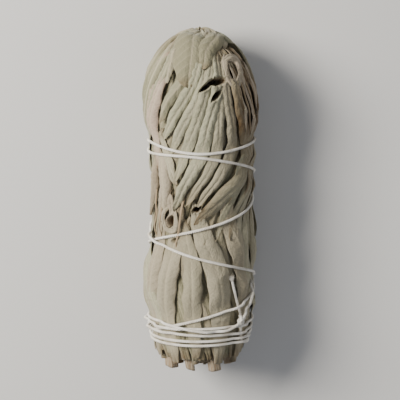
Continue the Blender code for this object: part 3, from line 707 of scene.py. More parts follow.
def lower_leaf(line, half_width, curl, lift, random):
    """A broad leaf that stands up from the cut ends, its tip under the upper leaves."""
    return {
        "line": line,
        "half_width": half_width,
        "end": 0.3,
        "belly": 1.1,
        "curl": curl,
        "tilt": random.uniform(0.05, 0.2),
        "lift_places": (0, 0.25, 0.75, 1),
        "lifts": (-0.7, lift + 0.2, lift, -1.1),
        "wave": 0.25,
        "waves": random.uniform(5, 9),
        "wave_start": random.uniform(0, 6),
    }


def folded_leaf(line, half_width, curl, lift, random):
    """A leaf folded over the crown, its tip hanging down the side."""
    return {
        "line": line,
        "half_width": half_width,
        "end": 0.25,
        "belly": random.uniform(0.75, 1.0),
        "curl": curl,
        "tilt": random.uniform(0.05, 0.25),
        "lift_places": (0, 0.15, 0.4, 0.8, 1),
        "lifts": (-0.1, lift + random.uniform(0, 0.4), lift, lift, lift - 0.2),
        "wave": 0.3,
        "waves": random.uniform(6, 11),
        "wave_start": random.uniform(0, 6),
    }


def front_line(points):
    """A middle line from its points' x, seen from the front, and distances along the outline."""
    return tuple((along, math.acos(x / float(outline(np.array(along))[0]))) for x, along in points)


def sprig_line(position, root, tip):
    """A middle line that keeps to one place across the sprigs, counted in sprigs, from root to tip."""
    places = np.linspace(root, tip, 7)
    angles = position * SPRIG_ANGLE + lean(outline(places)[1]) + overlap(RADIUS)
    return tuple(zip(places.tolist(), angles.tolist()))


def middle_angle(line):
    """A middle line's angle half way along, in degrees from 0 to 360."""
    return math.degrees(line[len(line) // 2][1]) % 360


def outer_leaves():
    """Every outer leaf: those seen from the front as listed, and the others by rule, as in the frame."""
    random = np.random.default_rng(SEED)
    leaves = [folded_leaf(front_line(line), *sizes, random) for *sizes, line in FRONT_FOLDED]
    leaves += [lower_leaf(front_line(line), *sizes, random) for *sizes, line in FRONT_LOWER]
    for sprig in range(OUTER_SPRIGS):
        for share in LOWER_SHARES:
            root, tip = random.uniform(2.5, 6.5), random.uniform(46, 54)
            line = sprig_line(sprig + share + random.uniform(-0.04, 0.04), root, tip)
            leaf = lower_leaf(line, random.uniform(4.2, 5.2), random.uniform(1.5, 2.0), 0.3, random)
            if not FRONT_LOWER_ZONE[0] < middle_angle(line) < FRONT_LOWER_ZONE[1]:
                leaves.append(leaf)
        for number, share in enumerate(FOLDED_SHARES):
            root = random.uniform(100, 102)
            tip = random.uniform(36, 42) if (number + sprig) % 2 else random.uniform(50, 60)
            line = sprig_line(sprig + share + random.uniform(-0.04, 0.04), root, tip)
            leaf = folded_leaf(line, random.uniform(3.8, 4.7), random.uniform(2.2, 2.8), 0.3, random)
            if not FRONT_FOLDED_ZONE[0] < middle_angle(line) < FRONT_FOLDED_ZONE[1]:
                leaves.append(leaf)
    return leaves


def opening_depth(r, theta, s):
    """How far the leaves curl in at a place, and how much they rise in a lip round it.

    Each opening is an ellipse drawn to points at its ends: its depth is full inside and falls to
    nothing just past its edge, and the lip is a bell curve a little outside that.
    """
    depth, lip = np.zeros_like(r), np.zeros_like(r)
    for x, height, long, short, degrees, deepest in OPENINGS:
        turn = math.radians(degrees)
        right, up = r * np.cos(theta) - x, s - height
        ahead = right * math.cos(turn) + up * math.sin(turn)
        aside = up * math.cos(turn) - right * math.sin(turn)
        away = (np.abs(ahead / long) ** 1.5 + np.abs(aside / short) ** 1.5) ** (1 / 1.5)
        away = away + 9 * (np.sin(theta) < 0)
        depth = np.maximum(depth, deepest * smooth_step((1.15 - away) / 0.3))
        lip = np.maximum(lip, LIP_RISE * bell((away - 1.4) / 0.25))
    lip = lip * (depth < 0.01)
    return depth, lip


def painted_spot_shade(r, theta, s):
    """How much darker brown the leaves are painted at a place, as shade: the sum of a bell curve round each
    spot in front.

    It fades out round the sides, towards the underside.
    """
    painted_brown_shade = np.zeros_like(r)
    for x, height, across, up, strength in PAINTED_SHADE_SPOTS:
        spread = ((r * np.cos(theta) - x) / across) ** 2 + ((s - height) / up) ** 2
        painted_brown_shade += strength * np.exp(-spread) * smooth_step((np.sin(theta) + 0.7) / 0.9)
    return painted_brown_shade


def leaf_face(leaf, t, u, depth):
    """Points of a leaf t along it from the root and u across it from -1 to 1, at a depth below its face.

    Across, the blade bends evenly and then rolls under at its edges: its direction turns with u, and
    the points are the running sum of that direction. Relief is added along its normal: a groove on
    the midrib, puckers between the side veins and slow crumples. It then lies along its middle line
    on the bunch, and the thread presses it in as far as the strand's inner side. In the openings it
    sinks in, and there and on the shaded spots it is given painted brown shade. The edge thins and the tip is
    rounded off.
    """
    t, u = np.meshgrid(t, u, indexing="ij")
    root, tip = leaf["line"][0][0], leaf["line"][-1][0]
    along = root + (tip - root) * t
    r = outline(along)[0]
    slope = (leaf_line(leaf, along + 0.5) - leaf_line(leaf, along - 0.5)) * r
    end = leaf["end"]
    from_root = np.maximum(0, t) ** leaf["belly"]
    width = leaf["half_width"] * (end + (1 - end) * np.sin(math.pi * from_root) ** 0.7)
    width = width * (1 - 0.5 * smooth_step(-t / max(leaf["stalk"], 0.01)))
    width = width * np.sqrt(np.maximum(0.004, 1 - (np.maximum(0, t - TIP_START) / (1 - TIP_START)) ** 2))
    edge_turn = np.minimum(leaf["curl"] / 2, width / TIGHTEST_BEND)
    roll = leaf["roll"] * smooth_step((np.abs(u) - MARGIN_START) / (1.15 - MARGIN_START)) * np.sign(u)
    turn = edge_turn * (0.8 * u + 0.2 * u**3) + roll
    du = np.diff(u, axis=1)
    half_turn = (turn[:, 1:] + turn[:, :-1]) / 2
    x = np.zeros_like(u)
    h = np.zeros_like(u)
    x[:, 1:] = np.cumsum(np.cos(half_turn) * du, 1)
    h[:, 1:] = -np.cumsum(np.sin(half_turn) * du, 1)
    centre = u.shape[1] // 2
    x = (x - x[:, centre : centre + 1]) * width
    h = (h - h[:, centre : centre + 1]) * width
    across = u * width
    length = abs(tip - root) * t
    rim = np.abs(u) ** 4
    pucker = np.cos(math.tau * (length - VEIN_SLANT * np.abs(across)) / VEIN_GAP + leaf["phase"])
    relief = leaf["pucker"] * pucker * (1 - rim) * smooth_step(np.abs(across) / 0.9)
    relief = relief - leaf["groove"] * bell(across / 0.5)
    slow = np.sin(length / 2.9 + across / 1.9 + leaf["phase"])
    slow = slow + np.sin(length / 4.7 - across / 1.3 + 2.1 * leaf["phase"])
    relief = relief + leaf["crumple"] * slow
    frill = np.sin(math.tau * length / 6.3 + leaf["phase"] + 1.3 * np.sign(u))
    relief = relief + leaf["frill"] * frill * rim
    below = depth * (1 - (1 - BLADE_EDGE / BLADE) * np.abs(u) ** 6) - relief
    x = x - below * np.sin(turn)
    h = h - below * np.cos(turn)
    h = h + leaf["tilt"] * x + smooth_curve(leaf["lift_places"], leaf["lifts"], t)
    h = h - 1.6 * smooth_step(-t / max(leaf["stalk"], 0.01))
    h = h + leaf["wave"] * np.sin(leaf["waves"] * t + leaf["wave_start"]) * u
    leaning = np.sqrt(1 + slope**2)
    theta = leaf_line(leaf, along) + x / (np.maximum(r, 3.0) * leaning)
    r, s, out_r, out_s = outline(along - x * slope / leaning)
    sunk, lip = opening_depth(r, theta, s)
    over_thread = np.maximum(0, h + BITE - THREAD_GAP)
    h = h - thread_nearness(theta, s, BITE_REACH) * leaf["pressed"] * over_thread
    # Painted shade: the leaves are darkened brown where they sink into the openings and on the shaded spots
    painted_brown_shade = leaf["sinks"] * (SUNK_SHADE * sunk + painted_spot_shade(r, theta, s))
    sunk = sunk * leaf["sinks"]
    h = h - sunk + lip * leaf["pressed"]
    points = keep_above(place(r + h * out_r, theta, s + h * out_s), LOWEST_LEAF)
    return points, across, length, painted_brown_shade


def sheet_faces(rows, columns, first):
    """Quads of a closed sheet whose upper and lower points are two grids, with a wall round the rim."""
    number = first + np.arange(rows * columns).reshape(rows, columns)
    a, b = number[:-1, :-1].ravel(), number[1:, :-1].ravel()
    c, d = number[1:, 1:].ravel(), number[:-1, 1:].ravel()
    face = np.stack([a, b, c, d], 1)
    rim = np.concatenate([number[0, :], number[1:, -1], number[-1, -2::-1], number[-2:0:-1, 0]])
    below = rows * columns
    wall = np.stack([rim, np.roll(rim, -1), np.roll(rim, -1) + below, rim + below], 1)
    return np.concatenate([face, face[:, ::-1] + below, wall])


def outward(points, faces, first):
    """Those faces of a closed grid, turned round if their volume comes out negative."""
    corner = points.reshape(-1, 3)[faces - first]
    volume = np.einsum("ij,ij->i", corner[:, 0], np.cross(corner[:, 1], corner[:, 2])).sum()
    volume += np.einsum("ij,ij->i", corner[:, 0], np.cross(corner[:, 2], corner[:, 3])).sum()
    return faces if volume > 0 else faces[:, ::-1]


def leaf_blade(leaf, rows, columns, first):
    """A leaf as a thin closed blade: its points, faces, places along it and tones."""
    even = np.linspace(0, 1, rows)
    t = (1 + leaf["stalk"]) * (0.6 * even + 0.4 * (1 - np.cos(math.pi * even)) / 2) - leaf["stalk"]
    even = np.linspace(-1, 1, columns)
    u = 0.45 * even + 0.55 * np.sin(math.pi / 2 * even)
    upper, across, length, painted_brown_shade = leaf_face(leaf, t, u, 0.0)
    lower, _, _, _ = leaf_face(leaf, t, u, BLADE)
    points = np.stack([upper, lower])
    faces = outward(points, sheet_faces(rows, columns, first), first)
    uv = np.broadcast_to(np.stack([across, length], -1), (2, rows, columns, 2))
    t, u = np.meshgrid(t, u, indexing="ij")
    age = leaf["age"] + leaf["old_tip"] * smooth_step((t - 0.8) / 0.2)
    age = age + leaf["old_root"] * smooth_step(1 - t / 0.12) + leaf["old_edge"] * np.abs(u) ** 5
    # The painted brown shade of the openings and shaded spots joins the leaf's own ageing here
    age = np.maximum(0, age + leaf["old_side"] * smooth_step(u) + painted_brown_shade)
    tone = np.stack([np.full_like(t, leaf["shade"]), age, np.full_like(t, leaf["warmth"])], -1)
    return points, faces, uv, np.broadcast_to(tone, (2, rows, columns, 3))


def finish_leaf(leaf, random):
    """Gives a leaf its relief and colour, drawn from the numbers of a second rule."""
    leaf.update(
        roll=MARGIN_ROLL * random.uniform(0.6, 1.2),
        phase=random.uniform(0, 6),
        pucker=random.uniform(0.05, 0.1),
        groove=random.choice([-0.22, 0.3, 0.38]),
        crumple=random.uniform(0.08, 0.15),
        frill=random.uniform(0.1, 0.3),
        pressed=1.0,
        shade=random.uniform(0, 1),
        age=random.uniform(0, 0.12),
        old_tip=random.uniform(0, 0.5),
        old_root=random.uniform(0.2, 0.6),
        old_edge=random.uniform(0, 0.25),
        warmth=random.uniform(0, 0.3),
        old_side=0.0,
        stalk=0.0,
        sinks=1.0,
    )
    return leaf


PALE_SAGE = (0.40, 0.385, 0.27, 1.0)
DEEP_SAGE_AND_SHADE = (0.22, 0.215, 0.13, 1.0)
RIB_TAN = (0.47, 0.41, 0.28, 1.0)
ROSE_GREY = (0.46, 0.345, 0.275, 1.0)
BROWN_OF_AGE_AND_SHADE = (0.13, 0.08, 0.035, 1.0)
# Near-black brown: painted shade deep inside the openings
PAINTED_SHADE_BROWN = (0.03, 0.018, 0.009, 1.0)


def carried_values(tree):
    """What the points of a piece carry: the three values of their tone, and their place on the piece."""
    tone_node = tree.nodes.new("ShaderNodeAttribute")
    tone_node.attribute_name = "tone"
    mix = add_node(tree, "ShaderNodeSeparateColor", Color=tone_node.outputs["Color"])
    on_piece = tree.nodes.new("ShaderNodeUVMap")
    on_piece.uv_map = "along_the_piece"
    return *mix.outputs[:3], on_piece.outputs["UV"]


sage, sage_shader, sage_paint = shader_of(
    "woolly_dried_leaf",
    Roughness=0.88,
    Sheen_Weight=0.3,
    Sheen_Roughness=0.45,
    Sheen_Tint=(0.95, 0.95, 0.88, 1.0),
    Specular_IOR_Level=0.2,
)
shade, age, warmth, on_leaf = carried_values(sage)
leaf_place = add_node(sage, "ShaderNodeSeparateXYZ", Vector=on_leaf).outputs
from_rib = sum_of(sage, "ABSOLUTE", leaf_place["X"], 0.0)
slanted = sum_of(sage, "MULTIPLY", from_rib, VEIN_SLANT)
vein_count = sum_of(sage, "DIVIDE", sum_of(sage, "SUBTRACT", leaf_place["Y"], slanted), VEIN_GAP)
past_vein = sum_of(sage, "FRACT", vein_count, 0.0)
from_vein = sum_of(sage, "ABSOLUTE", sum_of(sage, "SUBTRACT", past_vein, 0.5), 0.0)
side_vein = ramp(sage, 0.42, 0.49, from_vein)
rib = ramp(sage, 0.34, 0.12, from_rib)
net_cells = add_node(sage, "ShaderNodeTexVoronoi", Vector=on_leaf, Scale=2.3)
net_cells.feature = "SMOOTH_F1"
net = ramp(sage, 0.25, 0.75, net_cells.outputs["Distance"])
mottle, wool = fine_fibres(sage, 0.16, 3.2)

# The shade value takes a leaf from pale to deep sage: its own tone on most leaves, and painted shade on the
# cap leaves, the inner leaves and the cores
colour = blend_colours(sage, shade, PALE_SAGE, DEEP_SAGE_AND_SHADE)
colour = tint(sage, colour, ramp(sage, 0.4, 0.7, mottle), 0.3, DEEP_SAGE_AND_SHADE)
colour = blend_colours(sage, warmth, colour, ROSE_GREY)
# Painted shade: the grooves of the net, which the bump lowers, are also darkened
colour = tint(sage, colour, net, 0.3, DEEP_SAGE_AND_SHADE)
colour = tint(sage, colour, side_vein, 0.3, RIB_TAN)
colour = tint(sage, colour, rib, 0.5, RIB_TAN)
# Ageing and painted shade both take the colour towards brown
colour = tint(sage, colour, age, sum_of(sage, "ADD", 0.55, mottle), BROWN_OF_AGE_AND_SHADE)
# Painted shade: past 0.9 the colour goes on towards near black, deep in the openings
colour = blend_colours(sage, ramp(sage, 0.9, 1.5, age), colour, PAINTED_SHADE_BROWN)
feed(sage, sage_shader.inputs["Base Color"], colour)
relief = sum_of(sage, "SUBTRACT", sum_of(sage, "MULTIPLY", wool, 0.7), sum_of(sage, "MULTIPLY", net, 0.6))
relief = sum_of(sage, "SUBTRACT", relief, sum_of(sage, "MULTIPLY", side_vein, 0.35))
raise_by(sage, sage_shader, relief, 0.13)


def owner_of(line):
    """The sprig whose share of the bunch a middle line lies in, half way along it."""
    at, angle = line[len(line) // 2]
    s = float(outline(np.array(at))[1])
    return int((angle - lean(s) - overlap(RADIUS)) // SPRIG_ANGLE % OUTER_SPRIGS)


finish_rule = np.random.default_rng(7)
leaves_of = {sprig: [] for sprig in range(OUTER_SPRIGS)}
side_leaves = []
for number, leaf in enumerate(outer_leaves()):
    finish_leaf(leaf, finish_rule)
    if number < len(FRONT_LOOKS):
        leaf["half_width"] *= FULLER
        leaf["curl"] *= FLATTER
        leaf["shade"], leaf["age"], leaf["warmth"], widest = FRONT_LOOKS[number]
        leaf["belly"] *= widest
    if leaf["line"][0][0] > leaf["line"][-1][0]:
        leaf["stalk"] = STALK_SHARE
    if number == BROWN_SIDED:
        leaf["old_side"] = SIDE_AGE
    if number < len(FRONT_LOOKS):
        grid = FINE_GRID if number in FINELY_MADE else FRONT_GRID
        leaves_of[owner_of(leaf["line"])].append((leaf, *grid))
    else:
        side_leaves.append(leaf)

# Smaller leaves between those: half width, curl, lift, shade, ageing, warmth, and the middle line. The
# narrowest stand as pale ribs over the hollow at the right of the crown, which is painted in brown shade, and
# don't sink in it or take that shade.
RIB_WIDTH = 1.0
SMALL_LEAVES = (
    # The first is a small cap leaf, whose shade of 1.0 is painted shade where it faces the light
    (3.6, 1.5, 0.9, 1.0, 0.12, 0.1, ((4.5, 106), (2.6, 99), (0.8, 91.5))),
    (1.5, 2.4, 0.5, 0.4, 0.1, 0.2, ((-6.5, 99), (-8.4, 93), (-9.6, 87.5))),
    (0.95, 2.8, 0.6, 0.3, 0.15, 0.7, ((9.0, 96), (12.2, 88), (14.6, 80), (15.4, 72))),
    (0.8, 2.8, 0.5, 0.4, 0.2, 0.7, ((10.5, 97), (13.8, 90), (16.0, 82), (16.6, 73))),
    (0.8, 2.8, 0.3, 0.4, 0.1, 0.6, ((7.8, 94), (10.6, 87), (12.6, 80), (13.4, 73))),
    (1.7, 2.4, 0.2, 0.5, 0.25, 0.5, ((-14.8, 66), (-14.4, 60), (-14.8, 53), (-15.6, 47))),
    (1.5, 2.6, 0.1, 0.2, 0.15, 0.5, ((-9.6, 55), (-9.0, 50), (-10.2, 44.5))),
    (1.4, 2.4, 0.4, 0.3, 0.1, 0.2, ((1.6, 40), (0.2, 46), (-0.6, 51.5))),
    (1.6, 2.2, 0.3, 0.6, 0.2, 0.3, ((10.4, 42), (9.2, 48), (8.9, 54))),
)
for half_width, curl, lift, shade, age, warmth, line in SMALL_LEAVES:
    leaf = finish_leaf(folded_leaf(front_line(line), half_width, curl, lift, finish_rule), finish_rule)
    leaf["shade"], leaf["age"], leaf["warmth"] = shade, age, warmth
    leaf["stalk"] = STALK_SHARE if line[0][1] > line[-1][1] else 0.0
    leaf["sinks"] = float(half_width >= RIB_WIDTH)
    leaves_of[owner_of(leaf["line"])].append((leaf, *SMALL_GRID))

# Each wide leaf away from the front is two narrow ones here, side by side, that keep its place and width
SPLIT_REACH = 0.52
for leaf in side_leaves:
    owner = owner_of(leaf["line"])
    for step in (-1, 1):
        narrow = dict(leaf)
        reach = step * SPLIT_REACH * leaf["half_width"] / RADIUS
        drift = finish_rule.uniform(-0.03, 0.03)
        narrow["line"] = tuple((at, angle + reach + drift) for at, angle in leaf["line"])
        narrow["half_width"] = leaf["half_width"] * finish_rule.uniform(0.52, 0.66)
        narrow["curl"] = leaf["curl"] + 0.3
        narrow["belly"] = leaf["belly"] * finish_rule.uniform(0.85, 1.2)
        narrow["waves"] = finish_rule.uniform(6, 12)
        narrow["lifts"] = tuple(lift + finish_rule.uniform(-0.35, 0.3) for lift in leaf["lifts"])
        finish_leaf(narrow, finish_rule)
        narrow["stalk"] = leaf["stalk"]
        leaves_of[owner].append((narrow, *SIDE_GRID))

# Under them is an inner layer, two leaves from the crown and from the cut ends for each share of a
# sprig, which closes the gaps between the outer ones. Its leaves are painted darker and browner, as the shade
# in those gaps.
INNER_SHARES = (0.08, 0.3, 0.52, 0.74, 0.96)
INNER_LIFT = -1.7
INNER_GRID = (60, 15)
inner_rule = np.random.default_rng(11)
for sprig in range(OUTER_SPRIGS):
    for number, share in enumerate(INNER_SHARES):
        lift = INNER_LIFT - 0.5 * (number % 2)
        line = sprig_line(sprig + share, 100.0, inner_rule.uniform(38, 52))
        leaf = folded_leaf(line, inner_rule.uniform(2.6, 3.4), 2.4, lift, inner_rule)
        lower_line = sprig_line(sprig + share + 0.1, 4.0, inner_rule.uniform(48, 56))
        lower = lower_leaf(lower_line, inner_rule.uniform(2.8, 3.6), 2.2, lift, inner_rule)
        for made in (leaf, lower):
            finish_leaf(made, inner_rule)
            made["pressed"] = 0.4
            # Painted shade: the inner leaves are made darker and browner
            made["age"] += 0.1
            made["shade"] = 0.8
            made["lifts"] = tuple(min(lift, INNER_LIFT) for lift in made["lifts"])
            leaves_of[sprig].append((made, *INNER_GRID))

# At the cut ends the lowest leaves of each sprig stand in layers round its stem
BASE_LIFTS = (-2.2, -3.6, -5.0, -6.4, -7.8, -9.2)
BASE_GRID = (24, 15)
for sprig in range(OUTER_SPRIGS):
    for lift in BASE_LIFTS:
        for share in (0.2, 0.7):
            position = sprig + share + inner_rule.uniform(-0.2, 0.2)
            line = sprig_line(position, inner_rule.uniform(1.5, 5.0), inner_rule.uniform(15, 19))
            leaf = lower_leaf(line, inner_rule.uniform(2.6, 4.4), 2.4, lift, inner_rule)
            finish_leaf(leaf, inner_rule)
            leaf["end"] = 0.7
            leaf["pressed"] = 0.0
            leaf["age"] = inner_rule.uniform(0.2, 0.5)
            leaf["lifts"] = (lift, lift + 0.3, lift, lift)
            leaves_of[sprig].append((leaf, *BASE_GRID))


CORE_DEPTH = 3.9
CORE_ROWS, CORE_COLUMNS = 90, 40
# Painted shade: how dark and brown the packed cores deep inside the bunch are
CORE_SHADE = 0.45
MIDDLE_SPACE = 4.0


def core_parts(points, share, s, age, first):
    """A closed core from the grids of its outer and inner side: points, faces, places, and tones painted dark
    and brown as shade.
    """
    faces = outward(points, sheet_faces(*s.shape, first), first)
    uv, tone = side_by_side(share * 12, s), side_by_side(1.0, age, 0 * s)
    return points, faces, np.stack([uv, uv]), np.stack([tone, tone])


def packed_core(sprig, first):
    """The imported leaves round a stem, as a ridged closed wedge between the middle and the inner leaves.

    Its outer face is a depth under the outline, with fine ridges that follow the sprig's lean.
    """
    s, share = np.meshgrid(np.linspace(11, 99, CORE_ROWS), np.linspace(0, 1, CORE_COLUMNS), indexing="ij")
    rise = np.clip((s - CROWN_START) / CROWN_HEIGHT, 0, 1)
    far = side_radius(np.minimum(s, CROWN_START)) * np.sqrt(1 - rise**2) - CORE_DEPTH
    far = far + 0.25 * np.sin(math.tau * (7 * share + 0.3 * np.sin(s / 6.0 + sprig)))
    theta = (sprig + share) * SPRIG_ANGLE + lean(s)
    sunk, _ = opening_depth(far + CORE_DEPTH, theta, s)
    far = np.maximum(far - 0.6 * sunk, MIDDLE_SPACE + 0.5)
    grids = [place(r, theta, s) for r in (far, np.full_like(far, MIDDLE_SPACE))]
    return core_parts(keep_above(np.stack(grids), LOWEST_LEAF), share, s, CORE_SHADE, first)


def gather(parts):
    """Joins closed shapes, each a function of the number of its first point, into one piece's arrays."""
    points, faces, uvs, tones_made, first = [], [], [], [], 0
    for part in parts:
        part_points, part_faces, part_uv, part_tone = part(first)
        points.append(part_points.reshape(-1, 3))
        faces += list(part_faces)
        uvs.append(np.asarray(part_uv).reshape(-1, 2))
        tones_made.append(np.asarray(part_tone).reshape(-1, 3))
        first += len(points[-1])
    return np.concatenate(points), faces, np.concatenate(uvs), np.concatenate(tones_made)


def smooth_walk(points, count):
    """Even steps along a smooth line through points given as x, distance along the outline and lift."""
    values = np.array(points, float).T
    steps = np.sqrt((np.diff(values[:2], axis=1) ** 2).sum(0))
    at = np.concatenate([[0], np.cumsum(steps)])
    even = np.linspace(0, at[-1], count)
    return even, [smooth_curve(at, row, even) for row in values]


def on_surface(x, along, lift):
    """Points of the bunch from x, distance along the outline and lift off it, where the thread presses in."""
    r, s, out_r, out_s = outline(along)
    theta = np.arccos(np.clip(x / r, -1, 1))
    lift = lift - 0.8 * thread_nearness(theta, s, 2.5) * BITE
    return place(r + lift * out_r, theta, s + lift * out_s)


# Two leaves rolled up along their length and bent round in loops: sprig, half width, age, warmth, and
# the middle line as x, distance along the outline and lift
LOOP_AT_CROWN = (
    (8.0, 97.0, -1.2),
    (7.4, 94.2, 0.1),
    (7.5, 91.0, 0.2),
    (8.7, 88.0, 0.1),
    (10.4, 87.0, 0.1),
    (11.4, 89.0, 0.2),
    (11.2, 91.8, 0.3),
    (10.0, 93.9, 0.4),
    (8.4, 94.5, 0.7),
    (6.9, 93.7, 0.1),
    (5.8, 92.2, -1.5),
)
LOOP_AT_LEFT = (
    (-9.8, 51.5, -1.5),
    (-10.9, 49.5, 0.2),
    (-11.2, 46.5, 0.3),
    (-10.2, 43.9, 0.3),
    (-8.6, 43.8, 0.2),
    (-7.5, 46.0, 0.3),
    (-7.6, 48.8, 0.3),
    (-8.6, 50.6, -1.4),
)
ROLLED_LEAVES = ((3, 1.1, 0.14, 0.5, LOOP_AT_CROWN), (4, 0.65, 0.1, 0.4, LOOP_AT_LEFT))
ROLL_SIDES, ROLL_RINGS = 28, 170


def rolled_leaf(half_width, age, warmth, points, first):
    """A leaf rolled up along its length: a flattened tube with creases that wander round it.

    Its radius is the half width times one plus a few cosines, and it narrows at both ends.
    """
    even, (x, along, lift) = smooth_walk(points, ROLL_RINGS)
    centres = on_surface(x, along, lift)
    side, out = across_on_bunch(centres)
    around = np.arange(ROLL_SIDES) * math.tau / ROLL_SIDES
    at = even[:, None]
    creases = 0.16 * np.cos(3 * around + at * 0.35) + 0.1 * np.cos(5 * around - at * 0.6)
    creases = creases + 0.13 * np.sin(at * 0.75)
    pucker = 0.05 * np.cos(at * 2.4 + 2 * np.sin(around))
    ends = np.sqrt(np.clip(1 - (np.abs(2 * even / even[-1] - 1)) ** 6, 0.02, 1))
    radius = half_width * ends[:, None] * (1 + creases + pucker)
    ring = np.cos(around)[:, None] * side[:, None] + 0.6 * np.sin(around)[:, None] * out[:, None]
    grid = centres[:, None] + radius[..., None] * ring
    across = half_width * (around - math.pi)
    uv = side_by_side(across, at)
    tone = side_by_side(0.3, age + 0.2 * (1 - ends[:, None]), warmth + 0 * uv[..., 0])
    return grid, tube_faces(ROLL_RINGS, ROLL_SIDES, first), uv, tone


# The wool of the leaves: short fine hairs that stand off the blades, most of them along the edges
WOOL_LENGTH, WOOL_WIDTH = 0.42, 0.014
WOOL_EACH = 130
WOOL_ROWS, WOOL_COLUMNS = 60, 25


def leaf_wool(leaf, random):
    """Starts and directions of a leaf's hairs, at points of its upper face drawn towards its edges.

    Each hair stands on the line from the lower face to the upper one.
    """
    t = np.sort(random.uniform(0.02, 0.99, WOOL_EACH))
    u = np.sign(random.uniform(-1, 1, WOOL_EACH)) * random.uniform(0, 1, WOOL_EACH) ** 0.4
    grid_t, grid_u = np.linspace(0.01, 0.99, WOOL_ROWS), np.linspace(-1, 1, WOOL_COLUMNS)
    upper, _, _, _ = leaf_face(leaf, grid_t, grid_u, 0.0)
    lower, _, _, _ = leaf_face(leaf, grid_t, grid_u, BLADE)
    i = np.round(t * (WOOL_ROWS - 1)).astype(int)
    j = np.round((u + 1) / 2 * (WOOL_COLUMNS - 1)).astype(int)
    out = upper[i, j] - lower[i, j]
    out /= np.linalg.norm(out, axis=1)[:, None] + 1e-9
    return upper[i, j] + random.normal(0, 0.05, (WOOL_EACH, 3)), out


wool_rule = np.random.default_rng(5)
for sprig in range(OUTER_SPRIGS):
    starts, outs = [], []
    for leaf, rows, _ in leaves_of[sprig]:
        if rows >= SIDE_GRID[0]:
            start, out = leaf_wool(leaf, wool_rule)
            starts.append(start)
            outs.append(out)
    starts, outs = np.concatenate(starts), np.concatenate(outs)
    count = len(starts)
    wool_points, wool_faces = hairs(
        starts,
        outs,
        wool_rule.normal(0, 0.5, (count, 3)),
        wool_rule.normal(0, 0.5, (count, 3)),
        WOOL_LENGTH * wool_rule.uniform(0.3, 1.0, (count, 1)),
        WOOL_WIDTH,
    )
    off_rib = np.broadcast_to((3.0, 0.4), wool_points.shape[:-1] + (2,))
    pale = np.zeros(wool_points.shape)
    node = f"sprig_{sprig + 1}"
    dressed("wool_of_" + node, wool_points, wool_faces, sage_paint, node, uv=off_rib, tone=pale)

for sprig in range(OUTER_SPRIGS):
    parts = [lambda first, sprig=sprig: packed_core(sprig, first)]
    for leaf, rows, columns in leaves_of[sprig]:
        parts.append(lambda first, a=(leaf, rows, columns): leaf_blade(*a, first))
    for owner, *rolled in ROLLED_LEAVES:
        if owner == sprig + 1:
            parts.append(lambda first, a=rolled: rolled_leaf(*a, first))
    points, faces, uv, tone = gather(parts)
    node = f"sprig_{sprig + 1}"
    dressed("leaves_of_" + node, points, faces, sage_paint, node, uv=uv, tone=tone)


# The stems: woody and squarish, with grooved bark, cut off a little slantwise below the thread. A ring
# of wood and a pale pith show on the cut. Each sprig has its own size, slant, turn and start.
STEM_RADII = (1.9, 1.6, 1.8, 1.5, 1.85, 1.7, 1.9, 1.55, 1.75)
CUT_SLANTS = (0.2, -0.3, 0.15, 0.35, -0.15, 0.1, -0.25, 0.3, -0.1)
STEM_TURNS = (0.2, 0.9, 0.5, 0.1, 0.7, 0.35, 1.1, 0.6, 0.0)
STEM_PLACE = 9.6
STEM_STARTS = (0.3, 1.1, 0.0, 0.8, 0.4, 1.3, 0.1, 0.9, 0.6)
STEM_END = 14.0
STEM_COLUMNS, STEM_ROWS = 48, 22
SQUARENESS = 2.7
CUT_RINGS = (0.08, 0.3, 0.55, 0.78, 0.92, 0.985)
BARK_BROWN = (0.26, 0.17, 0.09, 1.0)
BARK_GREY = (0.36, 0.31, 0.23, 1.0)
WOOD_TAN = (0.34, 0.25, 0.145, 1.0)
PITH_PALE = (0.46, 0.39, 0.27, 1.0)

wood, wood_shader, wood_paint = shader_of(
    "dry_woody_stalk", Roughness=0.8, Sheen_Weight=0.15, Specular_IOR_Level=0.3
)
from_pith, barked, _, on_stem = carried_values(wood)
stretched = add_node(wood, "ShaderNodeMapping", Vector=on_stem, Scale=(4.0, 0.35, 1.0)).outputs["Vector"]
bark_noise = add_node(wood, "ShaderNodeTexNoise", Vector=stretched, Scale=1.0, Detail=4.0, Roughness=0.65)
bark_lines = bark_noise.outputs["Fac"]
mottle, bloom = fine_fibres(wood, 0.14, 1.6)
bark = blend_colours(wood, ramp(wood, 0.35, 0.65, bark_lines), BARK_BROWN, BARK_GREY)
bark = tint(wood, bark, ramp(wood, 0.5, 0.75, mottle), 0.5, BARK_GREY)
cut = blend_colours(wood, ramp(wood, 0.3, 0.45, from_pith), PITH_PALE, WOOD_TAN)
cut = tint(wood, cut, ramp(wood, 0.45, 0.7, bloom), 0.35, BARK_BROWN)
feed(wood, wood_shader.inputs["Base Color"], blend_colours(wood, barked, cut, bark))
grain = sum_of(wood, "ADD", bark_lines, sum_of(wood, "MULTIPLY", bloom, 0.4))
raise_by(wood, wood_shader, grain, 0.12)


